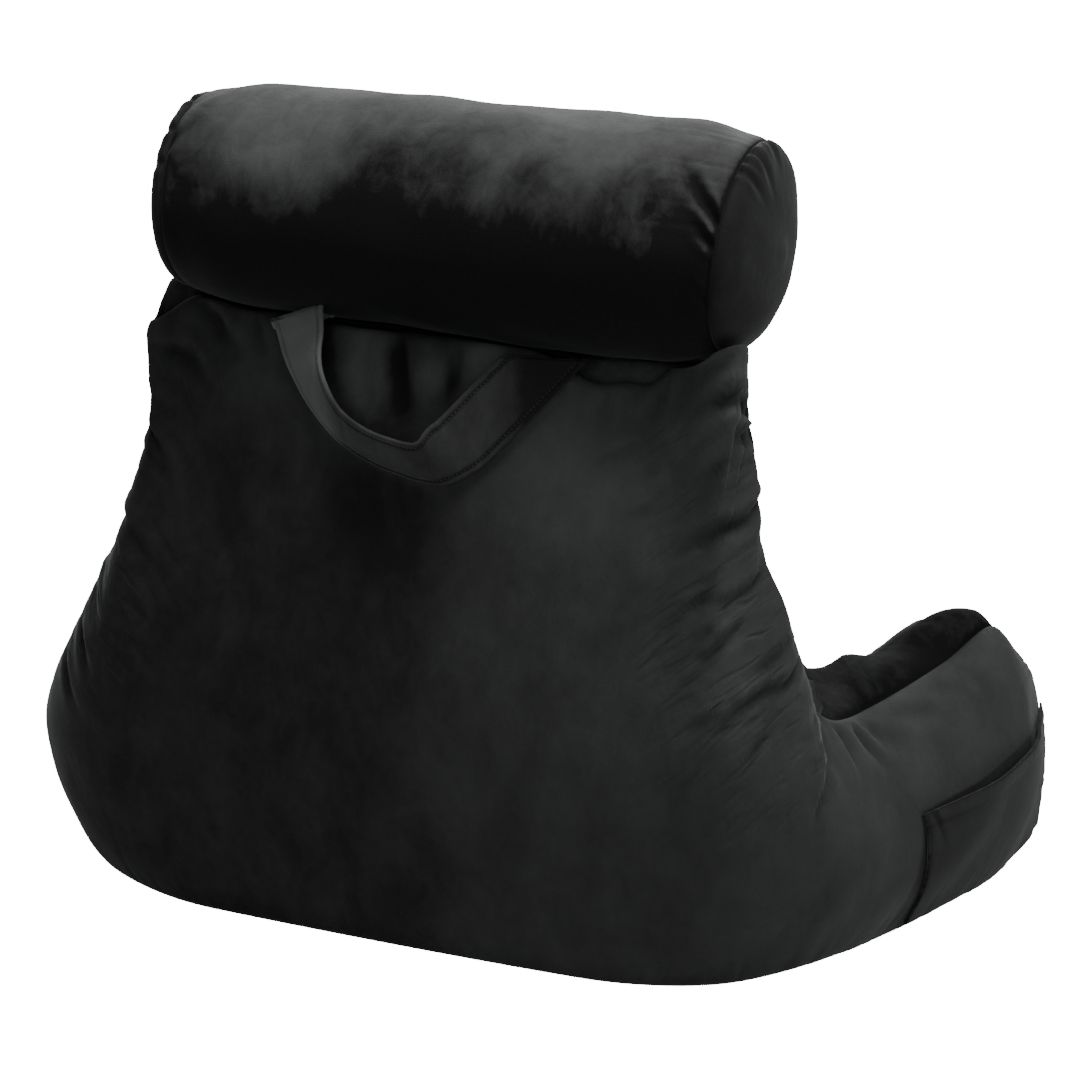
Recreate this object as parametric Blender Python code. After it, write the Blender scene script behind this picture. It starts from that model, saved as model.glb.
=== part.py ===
"""A reading pillow with arms: a stuffed back and arms, a neck roll, a carry handle and a patch pocket.

Metres, +Z up. The sitter faces -Y, so the rear panel faces +Y, and the arm with the pocket is the -X one.
The origin is on the flat base, under the middle of the back. The body is a boxed cushion: a rear panel
that runs round into the arms' outer sides, a front panel, one strip over the top and the arms, a base,
and an end on each arm. "Along" is a distance on the cloth, from the middle of the back towards an arm's
tip, and "share" is how far a column of the body's grid stands on that way, from 0 to 1.
"""
import math

import bmesh
import bpy
import numpy as np

# ---- Driving dimensions, in metres ------------------------------------------------------------
BASE_SEAM_Z = 0.007       # the base panel turns up to its seam
BASE_TURN = 0.022         # over this distance
BACK_BASE_Y = 0.112       # rear panel at the base seam
FRONT_BASE_Y = -0.080     # front panel at the base seam
BACK_TOP_Y = 0.085        # rear panel at the top seam
FRONT_TOP_Y = -0.005      # front panel at the top seam
TOP_BOW = 0.55            # how fast the rear panel's top curves forward, per metre
TOP_SHIFT = -0.012        # the top sits this far off the base's middle
LEAN_FROM_Z = 0.10        # the panels follow the floor plan below this
LEAN_TO_Z = 0.45          # and the straight top edge above this
CLOTH_LENGTH = 0.62       # a panel, from the middle of the back to an arm's tip
TIP_CROWN = 0.020         # the arms' ends bulge this far
TIP_REACH = 0.060         # the panels' crowns fade out over this distance from an end's seam
TIP_ROUND = 1.5           # how much fuller than straight the end's seam runs, from base to top
DRAWN_IN_LATE = 3.5       # how late, going up the rear panel, the seam's pull inwards is felt
SAG = 0.6                 # how much higher than half-way the arms' outer cloth bulges
SAG_FROM_POCKET = 0.84    # from this share on, on the pocket's arm
SAG_FROM_PLAIN = 0.48     # and on the plain arm
SAG_OVER = 0.12

ROLL_RADIUS = 0.0815
ROLL_HALF = 0.1975        # half the length, seam to seam
ROLL_X = -0.0255
ROLL_Y = 0.045
ROLL_Z = 0.529
ROLL_END_BULGE = 0.024
ROLL_DRAWN_IN = 0.0035    # at the two round seams
ROLL_DRAWN_OVER = 0.012   # the seam's pull fades over this distance
ROLL_GATHER = 0.0016      # depth of the gathers beside the seams
ROLL_GATHER_AT = 0.018    # their distance from the seam
ROLL_GATHER_OVER = 0.014
ROLL_CLEAR = 0.0014       # the back's saddle keeps this far from the roll's round

STRAP_WIDTH = 0.044
STRAP_THICK = 0.0032
STRAP_ROOT_Z = 0.455      # both ends are cut off level, just under the top seam

POCKET_THICK = 0.0022
POCKET_SEAT = 0.0008      # the patch stands this far off the arm along its seams
POCKET_STAND = 0.0130     # and this far off at the middle of its mouth
POCKET_FOOT_Z = 0.020

BODY_COLUMNS = 80
BODY_ROWS = 16
BODY_ACROSS = 6

# ---- Short tables -----------------------------------------------------------------------------
# The top seam: place, share, distance along the cloth on the -X side and on the +X side, height.
TOP_SEAM = (
    ("middle", 0.00, 0.000, 0.000, 0.457),
    ("under the roll", 0.15, 0.120, 0.120, 0.455),
    ("top corner", 0.26, 0.192, 0.192, 0.464),
    ("shoulder", 0.30, 0.215, 0.215, 0.445),
    ("side", 0.38, 0.222, 0.224, 0.375),
    ("lower side", 0.44, 0.236, 0.236, 0.315),
    ("waist", 0.50, 0.268, 0.262, 0.258),
    ("armpit", 0.56, 0.322, 0.325, 0.190),
    ("arm", 0.63, 0.376, 0.378, 0.180),
    ("arm middle", 0.78, 0.465, 0.468, 0.190),
    ("arm end", 0.92, 0.526, 0.529, 0.206),
    ("tip", 1.00, 0.548, 0.550, 0.200),
)

# The other seams, as distances along: place, share, rear base, front base, front top.
OTHER_SEAMS = (
    ("middle", 0.00, 0.000, 0.000, 0.000),
    ("top corner", 0.26, 0.140, 0.130, 0.180),
    ("side", 0.40, 0.215, 0.170, 0.185),
    ("armpit", 0.56, 0.300, 0.235, 0.232),
    ("arm middle", 0.78, 0.440, 0.312, 0.304),
    ("tip", 1.00, 0.600, 0.404, 0.388),
)

# Floor plans: distance along, heading in degrees off the back's own line, for the -X and the +X side.
REAR_PLAN_POCKET_SIDE = (
    (0.00, 0), (0.12, 2), (0.17, 14), (0.21, 25), (0.26, 47),
    (0.32, 58), (0.40, 66), (0.46, 69), (0.52, 78), (0.62, 90),
)
REAR_PLAN_PLAIN_SIDE = (
    (0.00, 0), (0.15, 2), (0.20, 15), (0.24, 26), (0.28, 48),
    (0.33, 64), (0.38, 72), (0.46, 74), (0.52, 79), (0.62, 90),
)
FRONT_PLAN = ((0.00, 0), (0.19, 0), (0.23, 30), (0.255, 66), (0.29, 74), (0.35, 76), (0.43, 82))

# How far the stuffing pushes each panel out, and how far the rear panel's top seam is drawn in from
# its base seam: place, share, rear panel, front panel, top strip, drawn in.
CROWN = (
    ("middle", 0.00, 0.034, 0.026, 0.004, 0.000),
    ("top corner", 0.26, 0.032, 0.022, 0.004, 0.000),
    ("side", 0.40, 0.046, 0.016, 0.004, 0.000),
    ("armpit", 0.54, 0.042, 0.012, 0.006, 0.008),
    ("arm", 0.63, 0.038, 0.014, 0.008, 0.036),
    ("arm middle", 0.78, 0.032, 0.018, 0.008, 0.050),
    ("arm end", 0.92, 0.026, 0.018, 0.008, 0.060),
    ("tip", 1.00, 0.023, 0.018, 0.006, 0.058),
)

# Main folds: place, both ends (x, y, z), depth, width. The cloth is pulled in deepest at the first end.
FOLDS = (
    ("armpit, pocket side", (-0.286, 0.036, 0.195), (-0.290, 0.080, 0.130), 0.012, 0.016),
    ("root of the arm", (-0.296, -0.006, 0.180), (-0.312, -0.030, 0.120), 0.007, 0.016),
    ("waist, pocket side", (-0.262, 0.080, 0.240), (-0.228, 0.124, 0.202), 0.009, 0.015),
    ("side, pocket side", (-0.233, 0.060, 0.361), (-0.215, 0.095, 0.336), 0.008, 0.013),
    ("shoulder, pocket side", (-0.222, 0.066, 0.428), (-0.190, 0.080, 0.436), 0.009, 0.013),
    ("under the handle", (0.011, 0.082, 0.450), (0.002, 0.102, 0.390), 0.006, 0.016),
    ("shoulder, plain side", (0.170, 0.050, 0.445), (0.118, 0.088, 0.405), 0.008, 0.014),
    ("waist, plain side", (0.262, 0.090, 0.220), (0.230, 0.135, 0.181), 0.009, 0.015),
    ("armpit, plain side", (0.290, 0.020, 0.185), (0.300, 0.050, 0.120), 0.010, 0.016),
)

# The carry handle's middle line, from its +X root round to its -X root: place, x, z, twist in degrees
# (0 lies flat on the panel, 90 stands on edge), how far up its face looks in degrees, gap to the panel.
HANDLE = (
    ("root in the top seam", 0.081, 0.450, 0, 120, 0.0045),
    ("arch beside the roll", 0.081, 0.461, 6, 80, 0.0160),
    ("first leg", 0.077, 0.446, 26, 26, 0.0100),
    ("turning", 0.066, 0.426, 46, 18, 0.0050),
    ("on edge", 0.038, 0.402, 66, 18, 0.0030),
    ("bottom", 0.006, 0.390, 66, 18, 0.0030),
    ("kink", -0.018, 0.382, 46, 18, 0.0030),
    ("second leg", -0.040, 0.388, 14, 18, 0.0030),
    ("upper leg", -0.070, 0.418, 3, 18, 0.0030),
    ("second root", -0.122, 0.472, 0, 18, 0.0030),
)

# The pocket's two sides and middle: place, share of its width, body's share at its foot and at its
# mouth, height of the mouth.
POCKET = (
    ("rear side", 0.0, 0.680, 0.655, 0.112),
    ("middle", 0.5, 0.820, 0.810, 0.116),
    ("tip", 1.0, 0.985, 0.985, 0.120),
)


# ---- Curves through short tables --------------------------------------------------------------
def smooth(t):
    """Eases from 0 to 1."""
    t = np.clip(t, 0.0, 1.0)
    return t * t * (3.0 - 2.0 * t)


def through(xs, ys, x):
    """A curve through the points (xs, ys) that never overshoots them, read at x."""
    xs = np.asarray(xs, float)
    ys = np.asarray(ys, float)
    step = np.diff(xs)
    rise = np.diff(ys) / step
    same = rise[:-1] * rise[1:] > 0
    both = np.where(same, rise[:-1] + rise[1:], 1.0)
    slope = np.empty(len(xs))
    slope[1:-1] = np.where(same, 2.0 * rise[:-1] * rise[1:] / both, 0.0)
    slope[0] = rise[0]
    slope[-1] = rise[-1]
    x = np.clip(x, xs[0], xs[-1])
    i = np.clip(np.searchsorted(xs, x, side="right") - 1, 0, len(xs) - 2)
    t = (x - xs[i]) / step[i]
    bend = step[i] * t * (1.0 - t) * ((1.0 - t) * slope[i] - t * slope[i + 1])
    return ys[i] + (ys[i + 1] - ys[i]) * smooth(t) + bend


def column(table, key, share):
    """One column of a table, read at a share of the way."""
    return through([row[1] for row in table], [row[key] for row in table], share)


def walk(plan, start_y):
    """Turns a plan of headings into a finely stepped path: along, x, y and heading."""
    along = np.linspace(0.0, plan[-1][0], 400)
    heading = np.radians(through([p[0] for p in plan], [p[1] for p in plan], along))
    step = np.diff(along)
    middle = (heading[1:] + heading[:-1]) / 2.0
    x = np.concatenate([[0.0], np.cumsum(np.cos(middle) * step)])
    y = start_y - np.concatenate([[0.0], np.cumsum(np.sin(middle) * step)])
    return along, x, y, heading


REAR_PATH_POCKET_SIDE = walk(REAR_PLAN_POCKET_SIDE, BACK_BASE_Y)
REAR_PATH_PLAIN_SIDE = walk(REAR_PLAN_PLAIN_SIDE, BACK_BASE_Y)
FRONT_PATH = walk(FRONT_PLAN, FRONT_BASE_Y)


# ---- The stuffed back and arms ----------------------------------------------------------------
def lift_at(z):
    """0 where the panels follow the floor plan, 1 where they follow the straight top edge."""
    return smooth((z - LEAN_FROM_Z) / (LEAN_TO_Z - LEAN_FROM_Z))


def on_panel(path, top_y, bow, along, z):
    """Where flat cloth at (along, z) lies on a panel, for the +X side, and the way that it faces."""
    lift = lift_at(z)
    x_low = np.interp(along, path[0], path[1])
    y_low = np.interp(along, path[0], path[2])
    heading = np.interp(along, path[0], path[3])
    x = x_low * (1.0 - lift) + along * lift
    y = y_low * (1.0 - lift) + (top_y - bow * along * along) * lift
    facing = heading * (1.0 - lift) + 2.0 * bow * along * lift
    normal = np.stack([np.sin(facing), np.cos(facing), np.zeros_like(facing)], -1)
    return np.stack([x, y, z], -1), normal


def to_side(place, side):
    """Puts points made for the +X side on their own side, with the top's small shift."""
    x = place[..., 0] * side + TOP_SHIFT * lift_at(place[..., 2])
    return np.stack([x, place[..., 1], place[..., 2]], -1)


def up_the_panel(share, v):
    """How far up the cloth has moved from its base seam to its top seam; late near the rounded tips."""
    return v ** (1.0 + TIP_ROUND * smooth((share - 0.75) / 0.25))


def fullness(share, v):
    """How much of a panel's crown shows: none at its four seams, all of it in its middle."""
    rise = np.sin(np.pi * np.clip(v, 0.0, 1.0)) ** 0.75
    end = np.sqrt(np.clip((1.0 - share) * CLOTH_LENGTH / TIP_REACH, 0.0, 1.0))
    return rise * end


def rear_panel(u, v):
    """The rear panel at column u (-1 to 1) and row v (0 at the base seam, 1 at the top seam)."""
    share = np.abs(u)
    side = np.where(u < 0.0, -1.0, 1.0)
    a_top = np.where(side < 0.0, column(TOP_SEAM, 2, share), column(TOP_SEAM, 3, share))
    a_low = column(OTHER_SEAMS, 2, share)
    along = a_low + (a_top - a_low) * up_the_panel(share, v)
    z = BASE_SEAM_Z + (column(TOP_SEAM, 4, share) - BASE_SEAM_Z) * v
    pocket_side = on_panel(REAR_PATH_POCKET_SIDE, BACK_TOP_Y, TOP_BOW, along, z)
    plain_side = on_panel(REAR_PATH_PLAIN_SIDE, BACK_TOP_Y, TOP_BOW, along, z)
    here = side[..., None] < 0.0
    place = np.where(here, pocket_side[0], plain_side[0])
    normal = np.where(here, pocket_side[1], plain_side[1])
    from_share = np.where(side < 0.0, SAG_FROM_POCKET, SAG_FROM_PLAIN)
    raised = 1.0 + SAG * smooth((share - from_share) / SAG_OVER)
    push = column(CROWN, 2, share) * fullness(share, v**raised)
    push -= column(CROWN, 5, share) * v**DRAWN_IN_LATE
    return to_side(place + normal * push[..., None], side)


def front_panel(u, v):
    """The front panel at column u and row v."""
    share = np.abs(u)
    side = np.where(u < 0.0, -1.0, 1.0)
    a_low = column(OTHER_SEAMS, 3, share)
    along = a_low + (column(OTHER_SEAMS, 4, share) - a_low) * v
    z = BASE_SEAM_Z + (column(TOP_SEAM, 4, share) - BASE_SEAM_Z) * v
    place, normal = on_panel(FRONT_PATH, FRONT_TOP_Y, 0.0, along, z)
    push = column(CROWN, 3, share) * fullness(share, v)
    return to_side(place - normal * push[..., None], side)


def strip(first, second, w, crown, outside):
    """Cloth sewn between two edges and crowned towards the points in outside. Edges are (n, 3)."""
    across = second - first
    normal = np.cross(across, np.gradient(first + second, axis=0))
    normal /= np.linalg.norm(normal, axis=-1, keepdims=True)
    middle = (first + second) / 2.0
    facing = np.sign(np.sum(normal * (outside - middle), axis=-1, keepdims=True))
    flat = first[:, None, :] + across[:, None, :] * w[None, :, None]
    rise = crown[:, None] * (4.0 * w * (1.0 - w))[None, :] ** 0.8
    return flat + (normal * facing)[:, None, :] * rise[..., None]


def base_sheet(rear_edge, front_edge, w, share):
    """The base panel: flat on the ground, turned up to its seam all round."""
    across = front_edge - rear_edge
    base = rear_edge[:, None, :] + across[:, None, :] * w[None, :, None]
    from_seam = np.minimum(w, 1.0 - w)[None, :] * np.linalg.norm(across, axis=-1)[:, None]
    from_tip = (1.0 - share)[:, None] * CLOTH_LENGTH
    base[..., 2] = BASE_SEAM_Z * (1.0 - smooth(np.minimum(from_seam, from_tip) / BASE_TURN))
    return base


def roll_reach(x):
    """The neck roll's radius at x, at its fullest, with its round ends."""
    out = np.abs(x - ROLL_X)
    beyond = np.clip((out - ROLL_HALF) / ROLL_END_BULGE, 0.0, 1.0)
    return np.where(out < ROLL_HALF + ROLL_END_BULGE, ROLL_RADIUS * np.sqrt(1.0 - beyond**2), 0.0)


def clear_of_roll(place):
    """Moves points that the neck roll's weight presses down out to its round, away from its axis."""
    dy = place[..., 1] - ROLL_Y
    dz = place[..., 2] - ROLL_Z
    away = np.maximum(np.hypot(dy, dz), 1e-6)
    grow = np.maximum((roll_reach(place[..., 0]) + ROLL_CLEAR) / away, 1.0)
    return np.stack([place[..., 0], ROLL_Y + dy * grow, ROLL_Z + dz * grow], -1)


def folded(place, middle):
    """Pulls the cloth in along each main fold, towards the stuffing's middle."""
    inward = middle - place
    inward /= np.maximum(np.linalg.norm(inward, axis=-1, keepdims=True), 1e-6)
    for _, start, end, depth, width in FOLDS:
        start = np.array(start)
        run = np.array(end) - start
        t = np.clip((place - start) @ run / (run @ run), 0.0, 1.0)
        gap = np.linalg.norm(place - start - t[..., None] * run, axis=-1)
        pull = depth * (1.0 - 0.7 * t) * np.exp(-((gap / width) ** 2))
        place = place + inward * pull[..., None]
    return place


def body_grids(columns, rows, across):
    """The body's rear, front, top, base and end sheets, as grids of points."""
    u = np.linspace(-1.0, 1.0, columns + 1)
    v = np.linspace(0.0, 1.0, rows + 1)
    w = (1.0 - np.cos(np.pi * np.linspace(0.0, 1.0, across + 1))) / 2.0
    uu, vv = np.meshgrid(u, v, indexing="ij")
    rear = rear_panel(uu, vv)
    front = front_panel(uu, vv)
    middle = (rear + front) / 2.0
    rear = folded(rear, middle)
    above = middle[:, -1] + np.stack([np.sign(u), np.zeros(columns + 1), np.ones(columns + 1)], -1)
    top = strip(rear[:, -1], front[:, -1], w, column(CROWN, 4, np.abs(u)), above)
    ends = []
    for i, inner in ((0, 4), (columns, columns - 4)):
        ahead = 2.0 * middle[i] - middle[inner]
        ends.append(strip(rear[i], front[i], w, TIP_CROWN * np.sin(np.pi * v) ** 0.6, ahead))
    rear = clear_of_roll(rear)
    front = clear_of_roll(front)
    base = base_sheet(rear[:, 0], front[:, 0], w, np.abs(u))
    return rear, front, clear_of_roll(top), base, ends


def body_mesh(columns, rows, across):
    """One closed mesh from the body's sheets, which share the points on their seams."""
    rear, front, top, base, ends = body_grids(columns, rows, across)
    places = {}
    for i in range(columns + 1):
        for j in range(rows + 1):
            places[i, j, 0] = rear[i, j]
            places[i, j, across] = front[i, j]
        for k in range(1, across):
            places[i, rows, k] = top[i, k]
            places[i, 0, k] = base[i, k]
    for i, end in ((0, ends[0]), (columns, ends[1])):
        for j in range(1, rows):
            for k in range(1, across):
                places[i, j, k] = end[j, k]
    quads = []
    for i in range(columns):
        for j in range(rows):
            quads.append([(i, j, 0), (i, j + 1, 0), (i + 1, j + 1, 0), (i + 1, j, 0)])
            quads.append([(i, j, across), (i + 1, j, across), (i + 1, j + 1, across), (i, j + 1, across)])
        for k in range(across):
            quads.append([(i, rows, k), (i, rows, k + 1), (i + 1, rows, k + 1), (i + 1, rows, k)])
            quads.append([(i, 0, k), (i + 1, 0, k), (i + 1, 0, k + 1), (i, 0, k + 1)])
    for i in (0, columns):
        for j in range(rows):
            for k in range(across):
                quads.append([(i, j, k), (i, j, k + 1), (i, j + 1, k + 1), (i, j + 1, k)])
    number = {key: n for n, key in enumerate(places)}
    return list(places.values()), [[number[key] for key in quad] for quad in quads]


# ---- The neck roll ----------------------------------------------------------------------------
def roll_profile(along, ring):
    """The roll from its middle out: x, radius and distance from the round seam, end to end."""
    seam_radius = ROLL_RADIUS - ROLL_DRAWN_IN
    tube = []
    for t in np.linspace(-1.0, 1.0, along + 1):
        x = ROLL_HALF * math.sin(t * math.pi / 2.0)
        from_seam = ROLL_HALF - abs(x)
        tube.append((x, ROLL_RADIUS - ROLL_DRAWN_IN * math.exp(-from_seam / ROLL_DRAWN_OVER), from_seam))
    disc = []
    for t in np.linspace(0.0, math.pi / 2.0, ring + 1)[1:-1]:
        x = ROLL_HALF + ROLL_END_BULGE * math.sin(t)
        disc.append((x, seam_radius * math.cos(t) ** 0.85, x - ROLL_HALF))
    return [(-x, radius, off) for x, radius, off in reversed(disc)] + tube + disc


def roll_mesh(around, along, ring):
    """A stuffed tube between two round seams, with a crowned disc on each end and gathers by the seams."""
    profile = roll_profile(along, ring)
    verts = [(ROLL_X - ROLL_HALF - ROLL_END_BULGE, ROLL_Y, ROLL_Z)]
    for x, radius, from_seam in profile:
        deep = ROLL_GATHER * math.exp(-(((from_seam - ROLL_GATHER_AT) / ROLL_GATHER_OVER) ** 2))
        for n in range(around):
            turn = 2.0 * math.pi * n / around
            reach = radius - deep * (n % 2)
            verts.append((ROLL_X + x, ROLL_Y + reach * math.cos(turn), ROLL_Z + reach * math.sin(turn)))
    verts.append((ROLL_X + ROLL_HALF + ROLL_END_BULGE, ROLL_Y, ROLL_Z))
    faces = []
    last = 1 + (len(profile) - 1) * around
    for n in range(around):
        m = (n + 1) % around
        faces.append([0, 1 + m, 1 + n])
        faces.append([len(verts) - 1, last + n, last + m])
        for k in range(len(profile) - 1):
            a = 1 + k * around
            b = a + around
            faces.append([a + n, a + m, b + m, b + n])
    return verts, faces


# ---- Sheets: the handle and the pocket --------------------------------------------------------
def sheet_mesh(grid, normals, thick):
    """A closed sheet of even thickness, from a grid of points on its inner face."""
    rows, cols = grid.shape[:2]
    verts = np.concatenate([grid.reshape(-1, 3), (grid + normals * thick).reshape(-1, 3)])
    shift = rows * cols
    faces = []
    for i in range(rows - 1):
        for j in range(cols - 1):
            a = i * cols + j
            b = a + cols
            faces.append([a, a + 1, b + 1, b])
            faces.append([shift + b, shift + b + 1, shift + a + 1, shift + a])
    rim = [j for j in range(cols)]
    rim += [i * cols + cols - 1 for i in range(1, rows)]
    rim += [(rows - 1) * cols + j for j in range(cols - 2, -1, -1)]
    rim += [i * cols for i in range(rows - 2, 0, -1)]
    for a, b in zip(rim, rim[1:] + rim[:1]):
        faces.append([a, b, shift + b, shift + a])
    return verts, faces


def back_y(x, z):
    """How far out the rear panel stands at each (x, z) on the back."""
    uu, vv = np.meshgrid(np.linspace(-0.3, 0.3, 241), np.linspace(0.6, 1.0, 161), indexing="ij")
    grid = clear_of_roll(rear_panel(uu, vv)).reshape(-1, 3)
    found = [grid[np.argmin((grid[:, 0] - a) ** 2 + (grid[:, 2] - b) ** 2), 1] for a, b in zip(x.flat, z.flat)]
    return np.array(found).reshape(x.shape)


def handle_mesh(steps, across):
    """The carry handle: a flat strap from the top seam and back to it, turned on edge at its bottom."""
    x, z, twist, lean, gap = np.array([row[1:] for row in HANDLE]).T
    y = back_y(x, z) + STRAP_WIDTH / 2.0 * np.sin(np.radians(twist)) + gap
    knots = np.linspace(0.0, 1.0, len(HANDLE))
    t = np.linspace(0.0, 1.0, 10 * steps + 1)
    middle = np.stack([through(knots, axis, t) for axis in (x, y, z)], -1)
    turn = np.radians(through(knots, twist, t))[:, None]
    tip_up = np.radians(through(knots, lean, t))
    run = np.gradient(middle, axis=0)
    run /= np.linalg.norm(run, axis=-1, keepdims=True)
    out = np.stack([np.zeros(len(t)), np.cos(tip_up), np.sin(tip_up)], -1)
    out -= run * np.sum(run * out, axis=-1, keepdims=True)
    out /= np.linalg.norm(out, axis=-1, keepdims=True)
    aside = np.cross(out, run)
    width = aside * np.cos(turn) + out * np.sin(turn)
    face = out * np.cos(turn) - aside * np.sin(turn)
    strands = []
    for w in np.linspace(-0.5, 0.5, across + 1) * STRAP_WIDTH:
        strand = np.concatenate([middle + width * w, face], -1)
        end = np.nonzero(strand[:, 2] <= STRAP_ROOT_Z)[0][-1]
        at = np.linspace(0.0, end, steps + 1)
        strands.append(np.stack([np.interp(at, np.arange(len(t)), line) for line in strand.T], -1))
    grid = np.stack(strands, 1)
    return sheet_mesh(grid[..., :3], grid[..., 3:], STRAP_THICK)


def pocket_mesh(cols, rows):
    """The patch pocket on the -X arm: sewn down on three sides, its mouth standing off the arm."""
    p = np.linspace(0.0, 1.0, cols + 1)[:, None]
    q = np.linspace(0.0, 1.0, rows + 1)[None, :]
    share = column(POCKET, 2, p) * (1.0 - q) + column(POCKET, 3, p) * q
    z = POCKET_FOOT_Z * (1.0 - q) + column(POCKET, 4, p) * q
    v = (z - BASE_SEAM_Z) / (column(TOP_SEAM, 4, share) - BASE_SEAM_Z)
    on_arm = rear_panel(-share, v)
    normal = np.cross(np.gradient(on_arm, axis=1), np.gradient(on_arm, axis=0))
    normal /= np.linalg.norm(normal, axis=-1, keepdims=True)
    normal *= -np.sign(normal[..., :1])
    stand = POCKET_SEAT + POCKET_STAND * np.sin(np.pi * p**0.75) ** 1.2 * q**1.6
    return sheet_mesh(on_arm + normal * stand[..., None], normal, POCKET_THICK)


# ---- Objects ----------------------------------------------------------------------------------
def velour(name, colour):
    """A short-pile cloth: dark, rough and without metal."""
    material = bpy.data.materials.new(name)
    material.use_nodes = True
    shader = material.node_tree.nodes["Principled BSDF"]
    shader.inputs["Base Color"].default_value = (*colour, 1.0)
    shader.inputs["Roughness"].default_value = 0.9
    shader.inputs["Metallic"].default_value = 0.0
    return material


def add_object(name, verts, faces, material):
    """Makes one closed object from points and faces, with its faces pointing out."""
    mesh = bpy.data.meshes.new(name)
    mesh.from_pydata([tuple(float(c) for c in place) for place in verts], [], faces)
    build = bmesh.new()
    build.from_mesh(mesh)
    bmesh.ops.recalc_face_normals(build, faces=build.faces)
    build.to_mesh(mesh)
    build.free()
    mesh.shade_smooth()
    mesh.set_sharp_from_angle(angle=math.radians(50.0))
    mesh.materials.append(material)
    thing = bpy.data.objects.new(name, mesh)
    bpy.context.scene.collection.objects.link(thing)


def main():
    for thing in list(bpy.data.objects):
        bpy.data.objects.remove(thing)
    body_cloth = velour("body_velour", (0.022, 0.023, 0.023))
    roll_cloth = velour("roll_velour", (0.028, 0.029, 0.029))
    handle_cloth = velour("handle_velour", (0.035, 0.036, 0.036))
    pocket_cloth = velour("pocket_velour", (0.030, 0.031, 0.031))
    add_object("body_cushion", *body_mesh(BODY_COLUMNS, BODY_ROWS, BODY_ACROSS), body_cloth)
    add_object("neck_roll", *roll_mesh(40, 14, 7), roll_cloth)
    add_object("carry_handle", *handle_mesh(56, 2), handle_cloth)
    add_object("side_pocket", *pocket_mesh(20, 8), pocket_cloth)


main()
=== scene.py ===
# %% [markdown]
# # A reading pillow with arms, in black velour
#
# The real thing is sewn like a boxed cushion. A rear panel runs round into the outer sides of two arms, a
# front panel lines the seat, a darker strip closes the top, and shredded foam pushes all of it out. A round
# neck roll lies on top, a strap hangs behind, and one arm carries a patch pocket.
#
# This notebook draws each piece over a plain solid that already has the right size. The plain solids are
# the frame: they are loaded first, and every piece here stays where they are.

# %% Load the frame
import math

import bmesh
import bpy
import numpy as np
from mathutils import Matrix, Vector


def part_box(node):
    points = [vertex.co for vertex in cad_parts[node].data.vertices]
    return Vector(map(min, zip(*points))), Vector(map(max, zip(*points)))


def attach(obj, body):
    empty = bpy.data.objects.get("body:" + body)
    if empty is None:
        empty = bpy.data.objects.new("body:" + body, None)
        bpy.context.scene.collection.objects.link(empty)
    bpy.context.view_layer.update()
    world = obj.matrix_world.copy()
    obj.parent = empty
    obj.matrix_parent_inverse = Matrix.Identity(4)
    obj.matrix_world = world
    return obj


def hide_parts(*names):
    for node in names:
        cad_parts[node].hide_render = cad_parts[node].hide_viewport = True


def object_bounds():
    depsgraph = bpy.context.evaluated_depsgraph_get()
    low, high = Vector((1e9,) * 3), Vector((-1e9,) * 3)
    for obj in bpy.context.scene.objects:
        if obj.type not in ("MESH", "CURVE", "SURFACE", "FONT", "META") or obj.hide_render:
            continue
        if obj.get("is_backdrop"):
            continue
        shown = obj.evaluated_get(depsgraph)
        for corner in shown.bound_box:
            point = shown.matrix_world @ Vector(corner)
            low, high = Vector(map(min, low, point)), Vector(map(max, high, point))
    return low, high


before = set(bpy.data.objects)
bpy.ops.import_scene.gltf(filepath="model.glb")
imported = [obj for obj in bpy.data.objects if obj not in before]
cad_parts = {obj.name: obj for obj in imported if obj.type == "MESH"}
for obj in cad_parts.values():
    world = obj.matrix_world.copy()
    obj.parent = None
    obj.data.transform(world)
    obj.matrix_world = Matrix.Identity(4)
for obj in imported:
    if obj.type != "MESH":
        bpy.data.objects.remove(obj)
cad_low, cad_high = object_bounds()
print("frame box in mm:", [round(1000 * c) for c in cad_high - cad_low])

# %% [markdown]
# ## The camera
#
# A camera is easiest to describe by what it looks at, how far round and how high it stands, and how far
# away it is. The picture is taken from behind the pillow, a little above it, with a long lens, so the
# perspective is gentle. The camera comes first because it decides how much detail is worth making.

# %% The camera
AIM = Vector((-0.078, 0.055, 0.310))
CAMERA_AZIMUTH = 202.0
CAMERA_ELEVATION = 20.0
CAMERA_DISTANCE = 2.213
CAMERA_LENS = 106.67
SENSOR = 36.0


def stand(azimuth, elevation, distance):
    """A point seen from the aim at an azimuth (0 is in front of the seat) and an elevation, in degrees."""
    turn = math.radians(azimuth)
    rise = math.radians(elevation)
    way = Vector((math.sin(turn) * math.cos(rise), -math.cos(turn) * math.cos(rise), math.sin(rise)))
    return AIM + way * distance


def look(thing, place):
    """Puts a camera or a light at a place and turns it to the aim."""
    thing.location = place
    thing.rotation_euler = (AIM - place).to_track_quat("-Z", "Y").to_euler()


def put(name, data):
    """A new object in the scene."""
    thing = bpy.data.objects.new(name, data)
    bpy.context.scene.collection.objects.link(thing)
    return thing


camera_data = bpy.data.cameras.new("camera")
camera_data.lens = CAMERA_LENS
camera_data.sensor_width = SENSOR
camera = put("camera", camera_data)
look(camera, stand(CAMERA_AZIMUTH, CAMERA_ELEVATION, CAMERA_DISTANCE))
bpy.context.scene.camera = camera
print("camera at", [round(c, 3) for c in camera.location])

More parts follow.
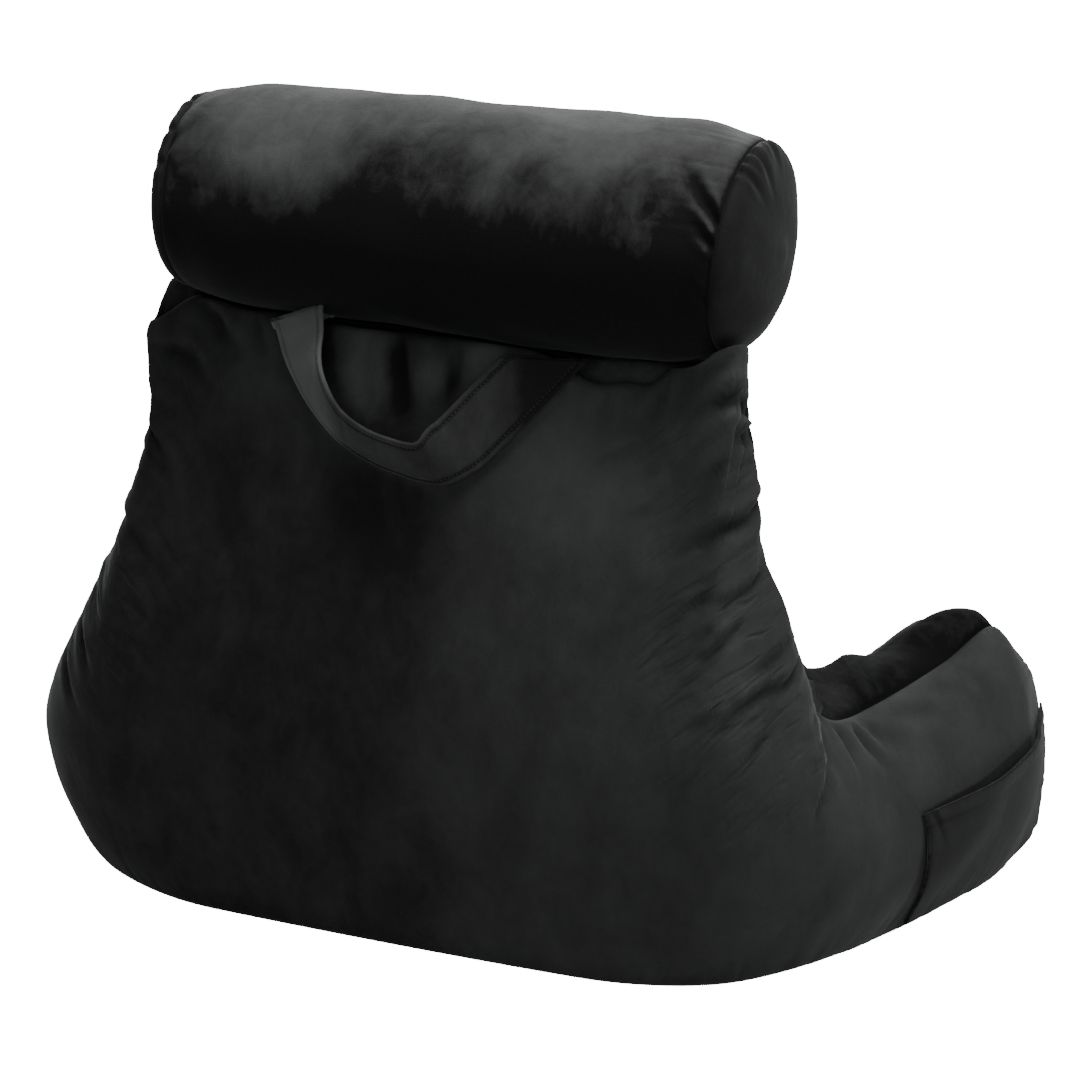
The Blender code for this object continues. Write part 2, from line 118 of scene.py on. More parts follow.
# %% [markdown]
# ## Floor and lights
#
# Black cloth shows its shape only by its highlights, so the lights matter more than on a pale object. Two
# large soft lights, one overhead and one on the picture's right, make the bright tops and right-hand sides.
# A weak one by the camera keeps the shadows from going solid, and one in front lights the seat. The floor
# is a big white sheet. It glows only where the camera sees it, as a lit studio sweep does, and is an
# ordinary pale surface to the pillow, so that it doesn't wash out the black cloth from below.

# %% Floor and lights
FLOOR_SIZE = 60.0
FLOOR_GLOW = 17.0
FLOOR_TONE = 0.45
SKY_STRENGTH = 0.12
LIGHTS = (  # name, azimuth, elevation, distance, width, power, colour
    ("over", 230.0, 78.0, 2.4, 1.0, 95.0, (1.0, 1.0, 0.99)),
    ("side", 275.0, 36.0, 2.8, 1.2, 42.0, (1.0, 1.0, 1.0)),
    ("fill", 195.0, 18.0, 3.2, 1.6, 32.0, (0.98, 0.99, 1.0)),
    ("front", 20.0, 30.0, 3.0, 1.6, 75.0, (1.0, 1.0, 1.0)),
)


def new_material(name):
    """A new material, its node tree and its one shader."""
    material = bpy.data.materials.new(name)
    material.use_nodes = True
    return material, material.node_tree, material.node_tree.nodes["Principled BSDF"]


def studio_floor():
    """A white sheet: bright in the picture itself, and an ordinary pale surface to the lights."""
    material, tree, shader = new_material("studio_floor")
    shader.inputs["Base Color"].default_value = (FLOOR_TONE, FLOOR_TONE, FLOOR_TONE, 1.0)
    shader.inputs["Roughness"].default_value = 0.9
    shader.inputs["Emission Color"].default_value = (1.0, 1.0, 1.0, 1.0)
    path = tree.nodes.new("ShaderNodeLightPath")
    glow = tree.nodes.new("ShaderNodeMath")
    glow.operation = "MULTIPLY"
    glow.inputs[1].default_value = FLOOR_GLOW
    tree.links.new(path.outputs["Is Camera Ray"], glow.inputs[0])
    tree.links.new(glow.outputs[0], shader.inputs["Emission Strength"])
    return material


half = FLOOR_SIZE / 2.0
floor_mesh = bpy.data.meshes.new("floor")
floor_corners = [(-half, -half, 0), (half, -half, 0), (half, half, 0), (-half, half, 0)]
floor_mesh.from_pydata(floor_corners, [], [(0, 1, 2, 3)])
floor_mesh.materials.append(studio_floor())
floor = put("floor", floor_mesh)
floor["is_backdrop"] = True

world = bpy.data.worlds.new("sky")
world.use_nodes = True
world.node_tree.nodes["Background"].inputs["Color"].default_value = (1.0, 1.0, 1.0, 1.0)
world.node_tree.nodes["Background"].inputs["Strength"].default_value = SKY_STRENGTH
bpy.context.scene.world = world

for name, azimuth, elevation, distance, width, power, colour in LIGHTS:
    light_data = bpy.data.lights.new(name, "AREA")
    light_data.size = width
    light_data.energy = power
    light_data.color = colour
    look(put(name, light_data), stand(azimuth, elevation, distance))
print("lights:", [row[0] for row in LIGHTS])

# %% [markdown]
# ## Curves through short tables
#
# A sewn shape is easiest to describe by a few measures at places that have names, such as the height of a
# seam at the armpit. A curve drawn through such a table gives every value between. The curve used here
# never runs past the values that it joins, so a seam can't ripple where nobody asked for it.

# %% Curves through short tables
def smooth(t):
    """Eases from 0 to 1."""
    t = np.clip(t, 0.0, 1.0)
    return t * t * (3.0 - 2.0 * t)


def through(xs, ys, x):
    """A curve through the points (xs, ys) that never overshoots them, read at x."""
    xs = np.asarray(xs, float)
    ys = np.asarray(ys, float)
    step = np.diff(xs)
    rise = np.diff(ys) / step
    same = rise[:-1] * rise[1:] > 0
    both = np.where(same, rise[:-1] + rise[1:], 1.0)
    slope = np.empty(len(xs))
    slope[1:-1] = np.where(same, 2.0 * rise[:-1] * rise[1:] / both, 0.0)
    slope[0] = rise[0]
    slope[-1] = rise[-1]
    x = np.clip(x, xs[0], xs[-1])
    i = np.clip(np.searchsorted(xs, x, side="right") - 1, 0, len(xs) - 2)
    t = (x - xs[i]) / step[i]
    bend = step[i] * t * (1.0 - t) * ((1.0 - t) * slope[i] - t * slope[i + 1])
    return ys[i] + (ys[i + 1] - ys[i]) * smooth(t) + bend


def column(table, key, share):
    """One column of a table, read at a share of the way."""
    return through([row[1] for row in table], [row[key] for row in table], share)


print("halfway between 0 and 1 lies", float(through((0, 1, 2), (0, 1, 1), 0.5)))

# %% [markdown]
# ## The sewing plan of the stuffed body
#
# Each panel is a grid of points. "Share" says how far a column of the grid stands from the middle of the
# back (0) to an arm's tip (1), "along" is the distance on the cloth, and "heading" is how far the cloth has
# turned forward from the back's own line. The tables give the seams at named places, and tell the
# pocket's side (-X) from the plain side (+X). The patch pocket is in the plan too, because it covers part
# of an arm's cloth.

# %% The sewing plan: seams and floor plans
BASE_SEAM_Z = 0.007
BASE_TURN = 0.022
BACK_BASE_Y = 0.112
FRONT_BASE_Y = -0.080
BACK_TOP_Y = 0.085
FRONT_TOP_Y = -0.005
TOP_BOW = 0.55
TOP_SHIFT = -0.012
LEAN_FROM_Z = 0.10
LEAN_TO_Z = 0.45
CLOTH_LENGTH = 0.62

TOP_SEAM = (  # place, share, distance along on the -X side and on the +X side, height
    ("middle", 0.00, 0.000, 0.000, 0.457),
    ("under the roll", 0.15, 0.120, 0.120, 0.455),
    ("top corner", 0.26, 0.192, 0.192, 0.464),
    ("shoulder", 0.30, 0.215, 0.215, 0.445),
    ("side", 0.38, 0.222, 0.224, 0.375),
    ("lower side", 0.44, 0.236, 0.236, 0.315),
    ("waist", 0.50, 0.268, 0.262, 0.258),
    ("armpit", 0.56, 0.322, 0.325, 0.190),
    ("arm", 0.63, 0.376, 0.378, 0.180),
    ("arm middle", 0.78, 0.465, 0.468, 0.190),
    ("arm end", 0.92, 0.526, 0.529, 0.206),
    ("tip", 1.00, 0.548, 0.550, 0.200),
)
OTHER_SEAMS = (  # place, share, rear base, front base, front top
    ("middle", 0.00, 0.000, 0.000, 0.000),
    ("top corner", 0.26, 0.140, 0.130, 0.180),
    ("side", 0.40, 0.215, 0.170, 0.185),
    ("armpit", 0.56, 0.300, 0.235, 0.232),
    ("arm middle", 0.78, 0.440, 0.312, 0.304),
    ("tip", 1.00, 0.600, 0.404, 0.388),
)
REAR_PLAN_POCKET_SIDE = (  # distance along, heading in degrees
    (0.00, 0), (0.12, 2), (0.17, 14), (0.21, 25), (0.26, 47),
    (0.32, 58), (0.40, 66), (0.46, 69), (0.52, 78), (0.62, 90),
)
REAR_PLAN_PLAIN_SIDE = (
    (0.00, 0), (0.15, 2), (0.20, 15), (0.24, 26), (0.28, 48),
    (0.33, 64), (0.38, 72), (0.46, 74), (0.52, 79), (0.62, 90),
)
POCKET_FOOT_Z = 0.020
POCKET = (  # place, share of its width, body's share at its foot and at its mouth, height of the mouth
    ("rear side", 0.0, 0.688, 0.655, 0.112),
    ("middle", 0.5, 0.820, 0.805, 0.117),
    ("near the tip", 0.85, 0.940, 0.925, 0.124),
    ("tip", 1.0, 0.985, 0.968, 0.131),
)
FRONT_PLAN = ((0.00, 0), (0.19, 0), (0.23, 30), (0.255, 66), (0.29, 74), (0.35, 76), (0.43, 82))


def walk(plan, start_y):
    """Turns a plan of headings into a finely stepped path: along, x, y and heading."""
    along = np.linspace(0.0, plan[-1][0], 400)
    heading = np.radians(through([p[0] for p in plan], [p[1] for p in plan], along))
    step = np.diff(along)
    middle = (heading[1:] + heading[:-1]) / 2.0
    x = np.concatenate([[0.0], np.cumsum(np.cos(middle) * step)])
    y = start_y - np.concatenate([[0.0], np.cumsum(np.sin(middle) * step)])
    return along, x, y, heading


REAR_PATH_POCKET_SIDE = walk(REAR_PLAN_POCKET_SIDE, BACK_BASE_Y)
REAR_PATH_PLAIN_SIDE = walk(REAR_PLAN_PLAIN_SIDE, BACK_BASE_Y)
FRONT_PATH = walk(FRONT_PLAN, FRONT_BASE_Y)
print("the pocket's arm reaches y =", round(float(REAR_PATH_POCKET_SIDE[2][-1]), 3))

# %% [markdown]
# ## Stuffing the panels
#
# Cloth at the floor follows the floor plan, and cloth at the top follows the straight top edge; between
# them it leans over smoothly. The stuffing then pushes each panel out by its crown, which is nothing at the
# seams and all of it in the panel's middle.

# %% Stuffing the panels
PANEL_FILL = 0.75         # below 1 the stuffing fills a panel's cross-section more squarely
STRIP_FILL = 0.8
TIP_FILL = 0.6
TIP_CROWN = 0.020
TIP_REACH = 0.060
TIP_ROUND_FROM = 0.75     # the rear panel's columns lean towards the tip beyond this share
TIP_ROUND = 1.5
DRAWN_IN_LATE = 3.5
SAG = 0.6                 # how much higher than half-way the arms' outer cloth bulges
SAG_FROM_POCKET = 0.84    # from this share on, on the arm with the pocket
SAG_FROM_PLAIN = 0.48     # and on the plain arm
SAG_OVER = 0.12
CROWN = (  # place, share, rear panel, front panel, top strip, rear top seam drawn in
    ("middle", 0.00, 0.034, 0.026, 0.004, 0.000),
    ("top corner", 0.26, 0.032, 0.022, 0.004, 0.000),
    ("side", 0.40, 0.046, 0.016, 0.004, 0.000),
    ("waist", 0.48, 0.044, 0.014, 0.001, 0.001),
    ("armpit", 0.54, 0.042, 0.012, 0.002, 0.008),
    ("arm", 0.63, 0.038, 0.014, 0.015, 0.036),
    ("arm middle", 0.78, 0.032, 0.018, 0.008, 0.050),
    ("arm end", 0.92, 0.026, 0.018, 0.011, 0.060),
    ("tip", 1.00, 0.023, 0.018, 0.008, 0.058),
)


def lift_at(z):
    """0 where the panels follow the floor plan, 1 where they follow the straight top edge."""
    return smooth((z - LEAN_FROM_Z) / (LEAN_TO_Z - LEAN_FROM_Z))


def on_panel(path, top_y, bow, along, z):
    """Where flat cloth at (along, z) lies on a panel, for the +X side, and the way that it faces."""
    lift = lift_at(z)
    x_low = np.interp(along, path[0], path[1])
    y_low = np.interp(along, path[0], path[2])
    heading = np.interp(along, path[0], path[3])
    x = x_low * (1.0 - lift) + along * lift
    y = y_low * (1.0 - lift) + (top_y - bow * along * along) * lift
    facing = heading * (1.0 - lift) + 2.0 * bow * along * lift
    normal = np.stack([np.sin(facing), np.cos(facing), np.zeros_like(facing)], -1)
    return np.stack([x, y, z], -1), normal


def to_side(place, side):
    """Puts points made for the +X side on their own side, with the top's small shift."""
    x = place[..., 0] * side + TOP_SHIFT * lift_at(place[..., 2])
    return np.stack([x, place[..., 1], place[..., 2]], -1)


def fullness(share, v):
    """How much of a panel's crown shows: none at its four seams, all of it in its middle."""
    rise = np.sin(np.pi * np.clip(v, 0.0, 1.0)) ** PANEL_FILL
    end = np.sqrt(np.clip((1.0 - share) * CLOTH_LENGTH / TIP_REACH, 0.0, 1.0))
    return rise * end


def rear_panel(u, v):
    """The rear panel at column u (-1 to 1) and row v (0 at the base seam, 1 at the top seam)."""
    share = np.abs(u)
    side = np.where(u < 0.0, -1.0, 1.0)
    a_top = np.where(side < 0.0, column(TOP_SEAM, 2, share), column(TOP_SEAM, 3, share))
    a_low = column(OTHER_SEAMS, 2, share)
    late = 1.0 + TIP_ROUND * smooth((share - TIP_ROUND_FROM) / (1.0 - TIP_ROUND_FROM))
    along = a_low + (a_top - a_low) * v**late
    z = BASE_SEAM_Z + (column(TOP_SEAM, 4, share) - BASE_SEAM_Z) * v
    pocket_side = on_panel(REAR_PATH_POCKET_SIDE, BACK_TOP_Y, TOP_BOW, along, z)
    plain_side = on_panel(REAR_PATH_PLAIN_SIDE, BACK_TOP_Y, TOP_BOW, along, z)
    here = side[..., None] < 0.0
    place = np.where(here, pocket_side[0], plain_side[0])
    normal = np.where(here, pocket_side[1], plain_side[1])
    from_share = np.where(side < 0.0, SAG_FROM_POCKET, SAG_FROM_PLAIN)
    raised = 1.0 + SAG * smooth((share - from_share) / SAG_OVER)
    push = column(CROWN, 2, share) * fullness(share, v**raised)
    push -= column(CROWN, 5, share) * v**DRAWN_IN_LATE
    return to_side(place + normal * push[..., None], side)


def front_panel(u, v):
    """The front panel at column u and row v."""
    share = np.abs(u)
    side = np.where(u < 0.0, -1.0, 1.0)
    a_low = column(OTHER_SEAMS, 3, share)
    along = a_low + (column(OTHER_SEAMS, 4, share) - a_low) * v
    z = BASE_SEAM_Z + (column(TOP_SEAM, 4, share) - BASE_SEAM_Z) * v
    place, normal = on_panel(FRONT_PATH, FRONT_TOP_Y, 0.0, along, z)
    push = column(CROWN, 3, share) * fullness(share, v)
    return to_side(place - normal * push[..., None], side)


middle_of_back = rear_panel(np.array([0.0]), np.array([0.5]))[0]
print("the back's middle stands out to y =", round(float(middle_of_back[1]), 3))

# %% [markdown]
# ## Working on a grid of cloth
#
# Everything that happens to sewn cloth is a small move in or out along its own normal: a fold sinks, the
# cloth beside it rises, a seam pulls a groove, and gathers run away from it. So the helpers below give a
# grid its normals, measure along it, and make two kinds of unevenness that repeat exactly on every run:
# soft lumps in space, and a wandering ripple along a line.

# %% Normals, distances, lumps and ripples
def normals_of(grid, outward):
    """The grid's normals, on the side that the points in outward lie on."""
    normal = np.cross(np.gradient(grid, axis=0), np.gradient(grid, axis=1))
    normal /= np.maximum(np.linalg.norm(normal, axis=-1, keepdims=True), 1e-9)
    facing = np.sign(np.sum(normal * (outward - grid), axis=-1, keepdims=True))
    return normal * np.where(facing == 0.0, 1.0, facing)


def run_along(line):
    """Distance from the first point of a line to each of its points, along axis 0."""
    step = np.linalg.norm(np.diff(line, axis=0), axis=-1)
    return np.concatenate([np.zeros((1,) + step.shape[1:]), np.cumsum(step, axis=0)])


def lumps(place, size, seed, waves=7):
    """Soft lumps in space, from -1 to 1, about as far apart as size."""
    draw = np.random.default_rng(seed)
    total = np.zeros(place.shape[:-1])
    for _ in range(waves):
        way = draw.normal(size=3)
        way *= 2.0 * np.pi / (size * draw.uniform(1.2, 2.6) * np.linalg.norm(way))
        total += np.sin(place @ way + draw.uniform(0.0, 2.0 * np.pi))
    return total / waves**0.5


def ripple(along, pitch, seed):
    """A wandering wave along a line, from about -1 to 1, with narrow troughs and broad crests."""
    draw = np.random.default_rng(seed)
    phase = along / pitch * 2.0 * np.pi + draw.uniform(0.0, 6.0)
    phase = phase + 1.7 * np.sin(phase * 0.31 + draw.uniform(0.0, 6.0)) + 0.9 * np.sin(phase * 0.77)
    strength = 0.55 + 0.45 * np.sin(along / pitch * 1.9 + draw.uniform(0.0, 6.0))
    return (0.4 - np.abs(np.sin(phase / 2.0)) ** 0.7) * -1.6 * strength


print("a ripple's first values:", np.round(ripple(np.linspace(0.0, 0.05, 5), 0.02, 1), 2))

# %% [markdown]
# ## Folds and creases
#
# Where the arms turn forward the cloth is too long for the inside of the turn, and the spare length goes
# into folds that start deep at the seam and fade over the panel. Each row of the tables below is one fold
# or crease, from its deep end to its faint end. A crease bends through a middle point, and has a soft ridge
# on both sides, because cloth that sinks in one place stands up beside it. The creases that stand out are
# listed one by one. The many short ones beside a seam are strewn by rule from a few rows of measures.

# %% Main folds and creases
FOLDS = (  # place, both ends (x, y, z), depth, width
    ("armpit, pocket side", (-0.286, 0.036, 0.195), (-0.290, 0.080, 0.130), 0.012, 0.016),
    ("root of the arm", (-0.296, -0.006, 0.180), (-0.312, -0.030, 0.120), 0.007, 0.016),
    ("waist, pocket side", (-0.262, 0.080, 0.240), (-0.228, 0.124, 0.202), 0.009, 0.015),
    ("side, pocket side", (-0.233, 0.060, 0.361), (-0.215, 0.095, 0.336), 0.008, 0.013),
    ("shoulder, pocket side", (-0.222, 0.066, 0.428), (-0.190, 0.080, 0.436), 0.009, 0.013),
    ("under the handle", (0.011, 0.082, 0.450), (0.002, 0.102, 0.390), 0.006, 0.016),
    ("shoulder, plain side", (0.170, 0.050, 0.445), (0.118, 0.088, 0.405), 0.008, 0.014),
    ("waist, plain side", (0.262, 0.090, 0.220), (0.230, 0.135, 0.181), 0.009, 0.015),
    ("armpit, plain side", (0.290, 0.020, 0.185), (0.300, 0.050, 0.120), 0.010, 0.016),
)
CREASES = (  # deep end, middle, faint end, depth, width
    # the pocket's side, from the shoulder down to the waist
    ((-0.228, 0.056, 0.424), (-0.212, 0.080, 0.418), (-0.190, 0.084, 0.426), 0.0110, 0.0070),
    ((-0.228, 0.056, 0.410), (-0.226, 0.081, 0.403), (-0.210, 0.090, 0.394), 0.0075, 0.0062),
    ((-0.230, 0.055, 0.392), (-0.214, 0.083, 0.381), (-0.198, 0.090, 0.366), 0.0030, 0.0050),
    ((-0.236, 0.052, 0.370), (-0.226, 0.082, 0.352), (-0.200, 0.100, 0.330), 0.0042, 0.0060),
    ((-0.232, 0.070, 0.352), (-0.205, 0.100, 0.338), (-0.170, 0.112, 0.316), 0.0034, 0.0065),
    ((-0.244, 0.060, 0.318), (-0.230, 0.098, 0.303), (-0.214, 0.108, 0.290), 0.0030, 0.0050),
    ((-0.222, 0.098, 0.306), (-0.200, 0.110, 0.292), (-0.176, 0.118, 0.276), 0.0026, 0.0055),
    ((-0.238, 0.096, 0.288), (-0.220, 0.112, 0.262), (-0.204, 0.120, 0.240), 0.0034, 0.0058),
    ((-0.225, 0.104, 0.286), (-0.209, 0.114, 0.266), (-0.190, 0.122, 0.244), 0.0026, 0.0055),
    ((-0.262, 0.066, 0.274), (-0.254, 0.086, 0.258), (-0.246, 0.098, 0.246), 0.0030, 0.0050),
    ((-0.266, 0.074, 0.244), (-0.240, 0.113, 0.227), (-0.222, 0.128, 0.192), 0.0042, 0.0062),
    ((-0.268, 0.054, 0.255), (-0.262, 0.084, 0.236), (-0.250, 0.104, 0.222), 0.0034, 0.0052),
    ((-0.232, 0.118, 0.230), (-0.218, 0.124, 0.218), (-0.200, 0.130, 0.206), 0.0024, 0.0055),
    ((-0.262, 0.098, 0.212), (-0.253, 0.110, 0.198), (-0.246, 0.118, 0.186), 0.0026, 0.0052),
    # the armpit and the arm with the pocket
    ((-0.286, 0.036, 0.206), (-0.291, 0.044, 0.184), (-0.293, 0.048, 0.160), 0.0052, 0.0055),
    ((-0.290, 0.048, 0.182), (-0.292, 0.060, 0.164), (-0.290, 0.072, 0.146), 0.0036, 0.0050),
    ((-0.291, 0.066, 0.160), (-0.290, 0.074, 0.146), (-0.288, 0.082, 0.128), 0.0026, 0.0048),
    ((-0.291, 0.014, 0.190), (-0.300, 0.016, 0.170), (-0.308, 0.018, 0.145), 0.0040, 0.0052),
    ((-0.296, -0.004, 0.186), (-0.308, -0.010, 0.164), (-0.318, -0.016, 0.140), 0.0036, 0.0052),
    ((-0.302, -0.018, 0.180), (-0.316, -0.040, 0.160), (-0.328, -0.062, 0.138), 0.0016, 0.0085),
    ((-0.318, -0.050, 0.186), (-0.330, -0.078, 0.172), (-0.340, -0.104, 0.152), 0.0015, 0.0085),
    ((-0.326, -0.085, 0.190), (-0.336, -0.110, 0.175), (-0.346, -0.136, 0.158), 0.0013, 0.0085),
    ((-0.330, -0.120, 0.186), (-0.342, -0.136, 0.168), (-0.350, -0.150, 0.148), 0.0010, 0.0085),
    # beside and inside the loop of the strap
    ((0.012, 0.078, 0.458), (0.008, 0.090, 0.424), (0.000, 0.104, 0.378), 0.0046, 0.0085),
    ((-0.034, 0.082, 0.456), (-0.028, 0.092, 0.426), (-0.018, 0.102, 0.392), 0.0036, 0.0060),
    ((0.066, 0.072, 0.456), (0.062, 0.085, 0.426), (0.046, 0.100, 0.396), 0.0040, 0.0075),
    ((0.036, 0.076, 0.456), (0.034, 0.088, 0.430), (0.030, 0.098, 0.404), 0.0018, 0.0060),
    ((-0.104, 0.080, 0.456), (-0.106, 0.088, 0.440), (-0.110, 0.092, 0.424), 0.0030, 0.0050),
    ((-0.134, 0.078, 0.454), (-0.136, 0.084, 0.438), (-0.138, 0.090, 0.420), 0.0026, 0.0052),
    ((-0.175, 0.070, 0.458), (-0.172, 0.076, 0.444), (-0.164, 0.084, 0.426), 0.0028, 0.0052),
    # the plain side: pleats under the roll, then the waist and the armpit
    ((0.172, 0.040, 0.452), (0.147, 0.074, 0.438), (0.116, 0.090, 0.408), 0.0040, 0.0062),
    ((0.184, 0.040, 0.430), (0.166, 0.070, 0.412), (0.144, 0.086, 0.388), 0.0030, 0.0060),
    ((0.126, 0.066, 0.456), (0.116, 0.080, 0.436), (0.104, 0.092, 0.410), 0.0026, 0.0058),
    ((0.204, 0.050, 0.372), (0.190, 0.086, 0.350), (0.170, 0.102, 0.326), 0.0026, 0.0062),
    ((0.222, 0.060, 0.312), (0.208, 0.098, 0.290), (0.188, 0.114, 0.264), 0.0028, 0.0062),
    ((0.250, 0.070, 0.256), (0.238, 0.104, 0.236), (0.218, 0.124, 0.212), 0.0032, 0.0062),
    ((0.262, 0.086, 0.222), (0.246, 0.118, 0.202), (0.228, 0.136, 0.176), 0.0038, 0.0060),
    ((0.276, 0.084, 0.192), (0.262, 0.112, 0.172), (0.246, 0.130, 0.150), 0.0030, 0.0058),
    ((0.290, 0.026, 0.196), (0.296, 0.046, 0.168), (0.300, 0.062, 0.134), 0.0046, 0.0060),
    ((0.294, 0.002, 0.186), (0.304, 0.012, 0.160), (0.312, 0.020, 0.132), 0.0036, 0.0058),
    ((0.304, -0.030, 0.186), (0.318, -0.030, 0.160), (0.328, -0.030, 0.132), 0.0030, 0.0062),
)
SEAT_CREASES = (  # on the front panel, where the seat turns into the arms
    ((-0.190, -0.050, 0.190), (-0.184, -0.092, 0.150), (-0.190, -0.112, 0.105), 0.0060, 0.0075),
    ((-0.178, -0.030, 0.240), (-0.160, -0.066, 0.210), (-0.136, -0.088, 0.180), 0.0040, 0.0070),
    ((-0.205, -0.080, 0.178), (-0.214, -0.104, 0.146), (-0.222, -0.116, 0.106), 0.0040, 0.0065),
    ((-0.178, -0.004, 0.330), (-0.156, -0.040, 0.312), (-0.126, -0.056, 0.296), 0.0034, 0.0070),
    ((-0.184, 0.000, 0.418), (-0.160, -0.024, 0.400), (-0.130, -0.034, 0.384), 0.0036, 0.0068),
    ((0.178, -0.050, 0.190), (0.176, -0.092, 0.150), (0.184, -0.112, 0.105), 0.0060, 0.0075),
    ((0.160, -0.030, 0.240), (0.146, -0.066, 0.208), (0.124, -0.088, 0.180), 0.0040, 0.0070),
    ((0.198, -0.080, 0.178), (0.208, -0.104, 0.146), (0.218, -0.116, 0.106), 0.0040, 0.0065),
    ((0.156, -0.006, 0.336), (0.136, -0.042, 0.318), (0.104, -0.056, 0.300), 0.0034, 0.0070),
    ((0.158, 0.000, 0.418), (0.134, -0.024, 0.402), (0.104, -0.034, 0.386), 0.0036, 0.0068),
    ((-0.040, -0.012, 0.448), (-0.036, -0.030, 0.410), (-0.028, -0.040, 0.370), 0.0024, 0.0080),
    ((0.052, -0.012, 0.448), (0.056, -0.030, 0.414), (0.064, -0.040, 0.380), 0.0024, 0.0080),
)
CREASE_STEPS = 10         # straight pieces in a crease's curve
CREASE_NARROW = 0.62      # the creases' widths are taken by this much
CREASE_DEEPEN = 0.95      # and their depths by this much
CREASE_WHOLE_TO = 0.3     # a crease is at its full depth up to this share of its length, then fades
CREASE_WIDENS = 0.7       # and it is wider by this share at its faint end
CREASE_START = (0.25, 0.2)  # how much of it shows at its very start, and over what share it deepens
FOLD_KEPT = 0.12          # the main folds are taken by this much, because the fine creases do the rest
FOLD_FADES = 0.7          # a main fold loses this share of its depth towards its faint end
LIT_RIDGE = (0.55, 1.7)   # the ridge on a crease's upper side: share of its depth, and widths off it
SHADED_RIDGE = (0.22, 2.2)
GATHERS = (
    # place, side, shares from and to, count, furthest start off the seam, length, slant, depth, seed
    ("waist, pocket side", -1, 0.320, 0.560, 26, 0.075, 0.040, 43, 0.0014, 5),
    ("seam, pocket side", -1, 0.285, 0.540, 14, 0.004, 0.022, 36, 0.0012, 15),
    ("top seam, pocket side", -1, 0.130, 0.262, 8, 0.004, 0.018, 82, 0.0014, 7),
    ("waist, plain side", 1, 0.320, 0.560, 20, 0.050, 0.036, 43, 0.0012, 8),
    ("top seam, plain side", 1, 0.020, 0.262, 12, 0.010, 0.034, 82, 0.0014, 9),
)
GATHER_WIDTH = 0.0044
GATHER_TURN = 9.0         # their slants differ by up to this many degrees
GATHER_SINKS = 0.6        # how much they run outwards as they run down the panel


def folded(place, middle):
    """Pulls the cloth in along each main fold, towards the stuffing's middle."""
    inward = middle - place
    inward /= np.maximum(np.linalg.norm(inward, axis=-1, keepdims=True), 1e-6)
    for _, start, end, depth, width in FOLDS:
        start = np.array(start)
        run = np.array(end) - start
        t = np.clip((place - start) @ run / (run @ run), 0.0, 1.0)
        gap = np.linalg.norm(place - start - t[..., None] * run, axis=-1)
        pull = FOLD_KEPT * depth * (1.0 - FOLD_FADES * t) * np.exp(-((gap / width) ** 2))
        place = place + inward * pull[..., None]
    return place


def gathers():
    """Short creases off a seam, uneven in place, length and slant. The slant is in degrees below level."""
    table = []
    for _, side, from_share, to_share, count, furthest, length, slant, depth, seed in GATHERS:
        draw = np.random.default_rng(seed)
        for n in range(count):
            share = from_share + (to_share - from_share) * (n + draw.uniform(0.1, 0.9)) / count
            angle = math.radians(slant + draw.uniform(-GATHER_TURN, GATHER_TURN))
            way = np.array([-side * math.cos(angle), GATHER_SINKS * math.cos(angle), -math.sin(angle)])
            start = rear_panel(np.array([side * share]), np.array([0.99]))[0]
            start = start + np.array([-side * 0.9, 0.35, 0.0]) * furthest * draw.uniform(0.0, 1.0) ** 1.3
            run = length * draw.uniform(0.45, 1.6)
            bend = start + way * run / 2.0 + np.array([0.0, 0.0, draw.uniform(-0.10, 0.14) * run])
            width = GATHER_WIDTH * draw.uniform(0.7, 1.6)
            table.append((start, bend, start + way * run, depth * draw.uniform(0.3, 1.2), width))
    return tuple(table)


def crease_line(start, bend, end, grid, normal):
    """A curve from start past bend to end, laid on the cloth."""
    start, bend, end = np.array(start), np.array(bend), np.array(end)
    control = 2.0 * bend - (start + end) / 2.0
    t = np.linspace(0.0, 1.0, CREASE_STEPS + 1)[:, None]
    line = (1.0 - t) ** 2 * start + 2.0 * t * (1.0 - t) * control + t * t * end
    for n, point in enumerate(line):
        nearest = np.argmin(np.sum((grid - point) ** 2, axis=-1))
        line[n] -= normal[nearest] * ((point - grid[nearest]) @ normal[nearest])
    return line


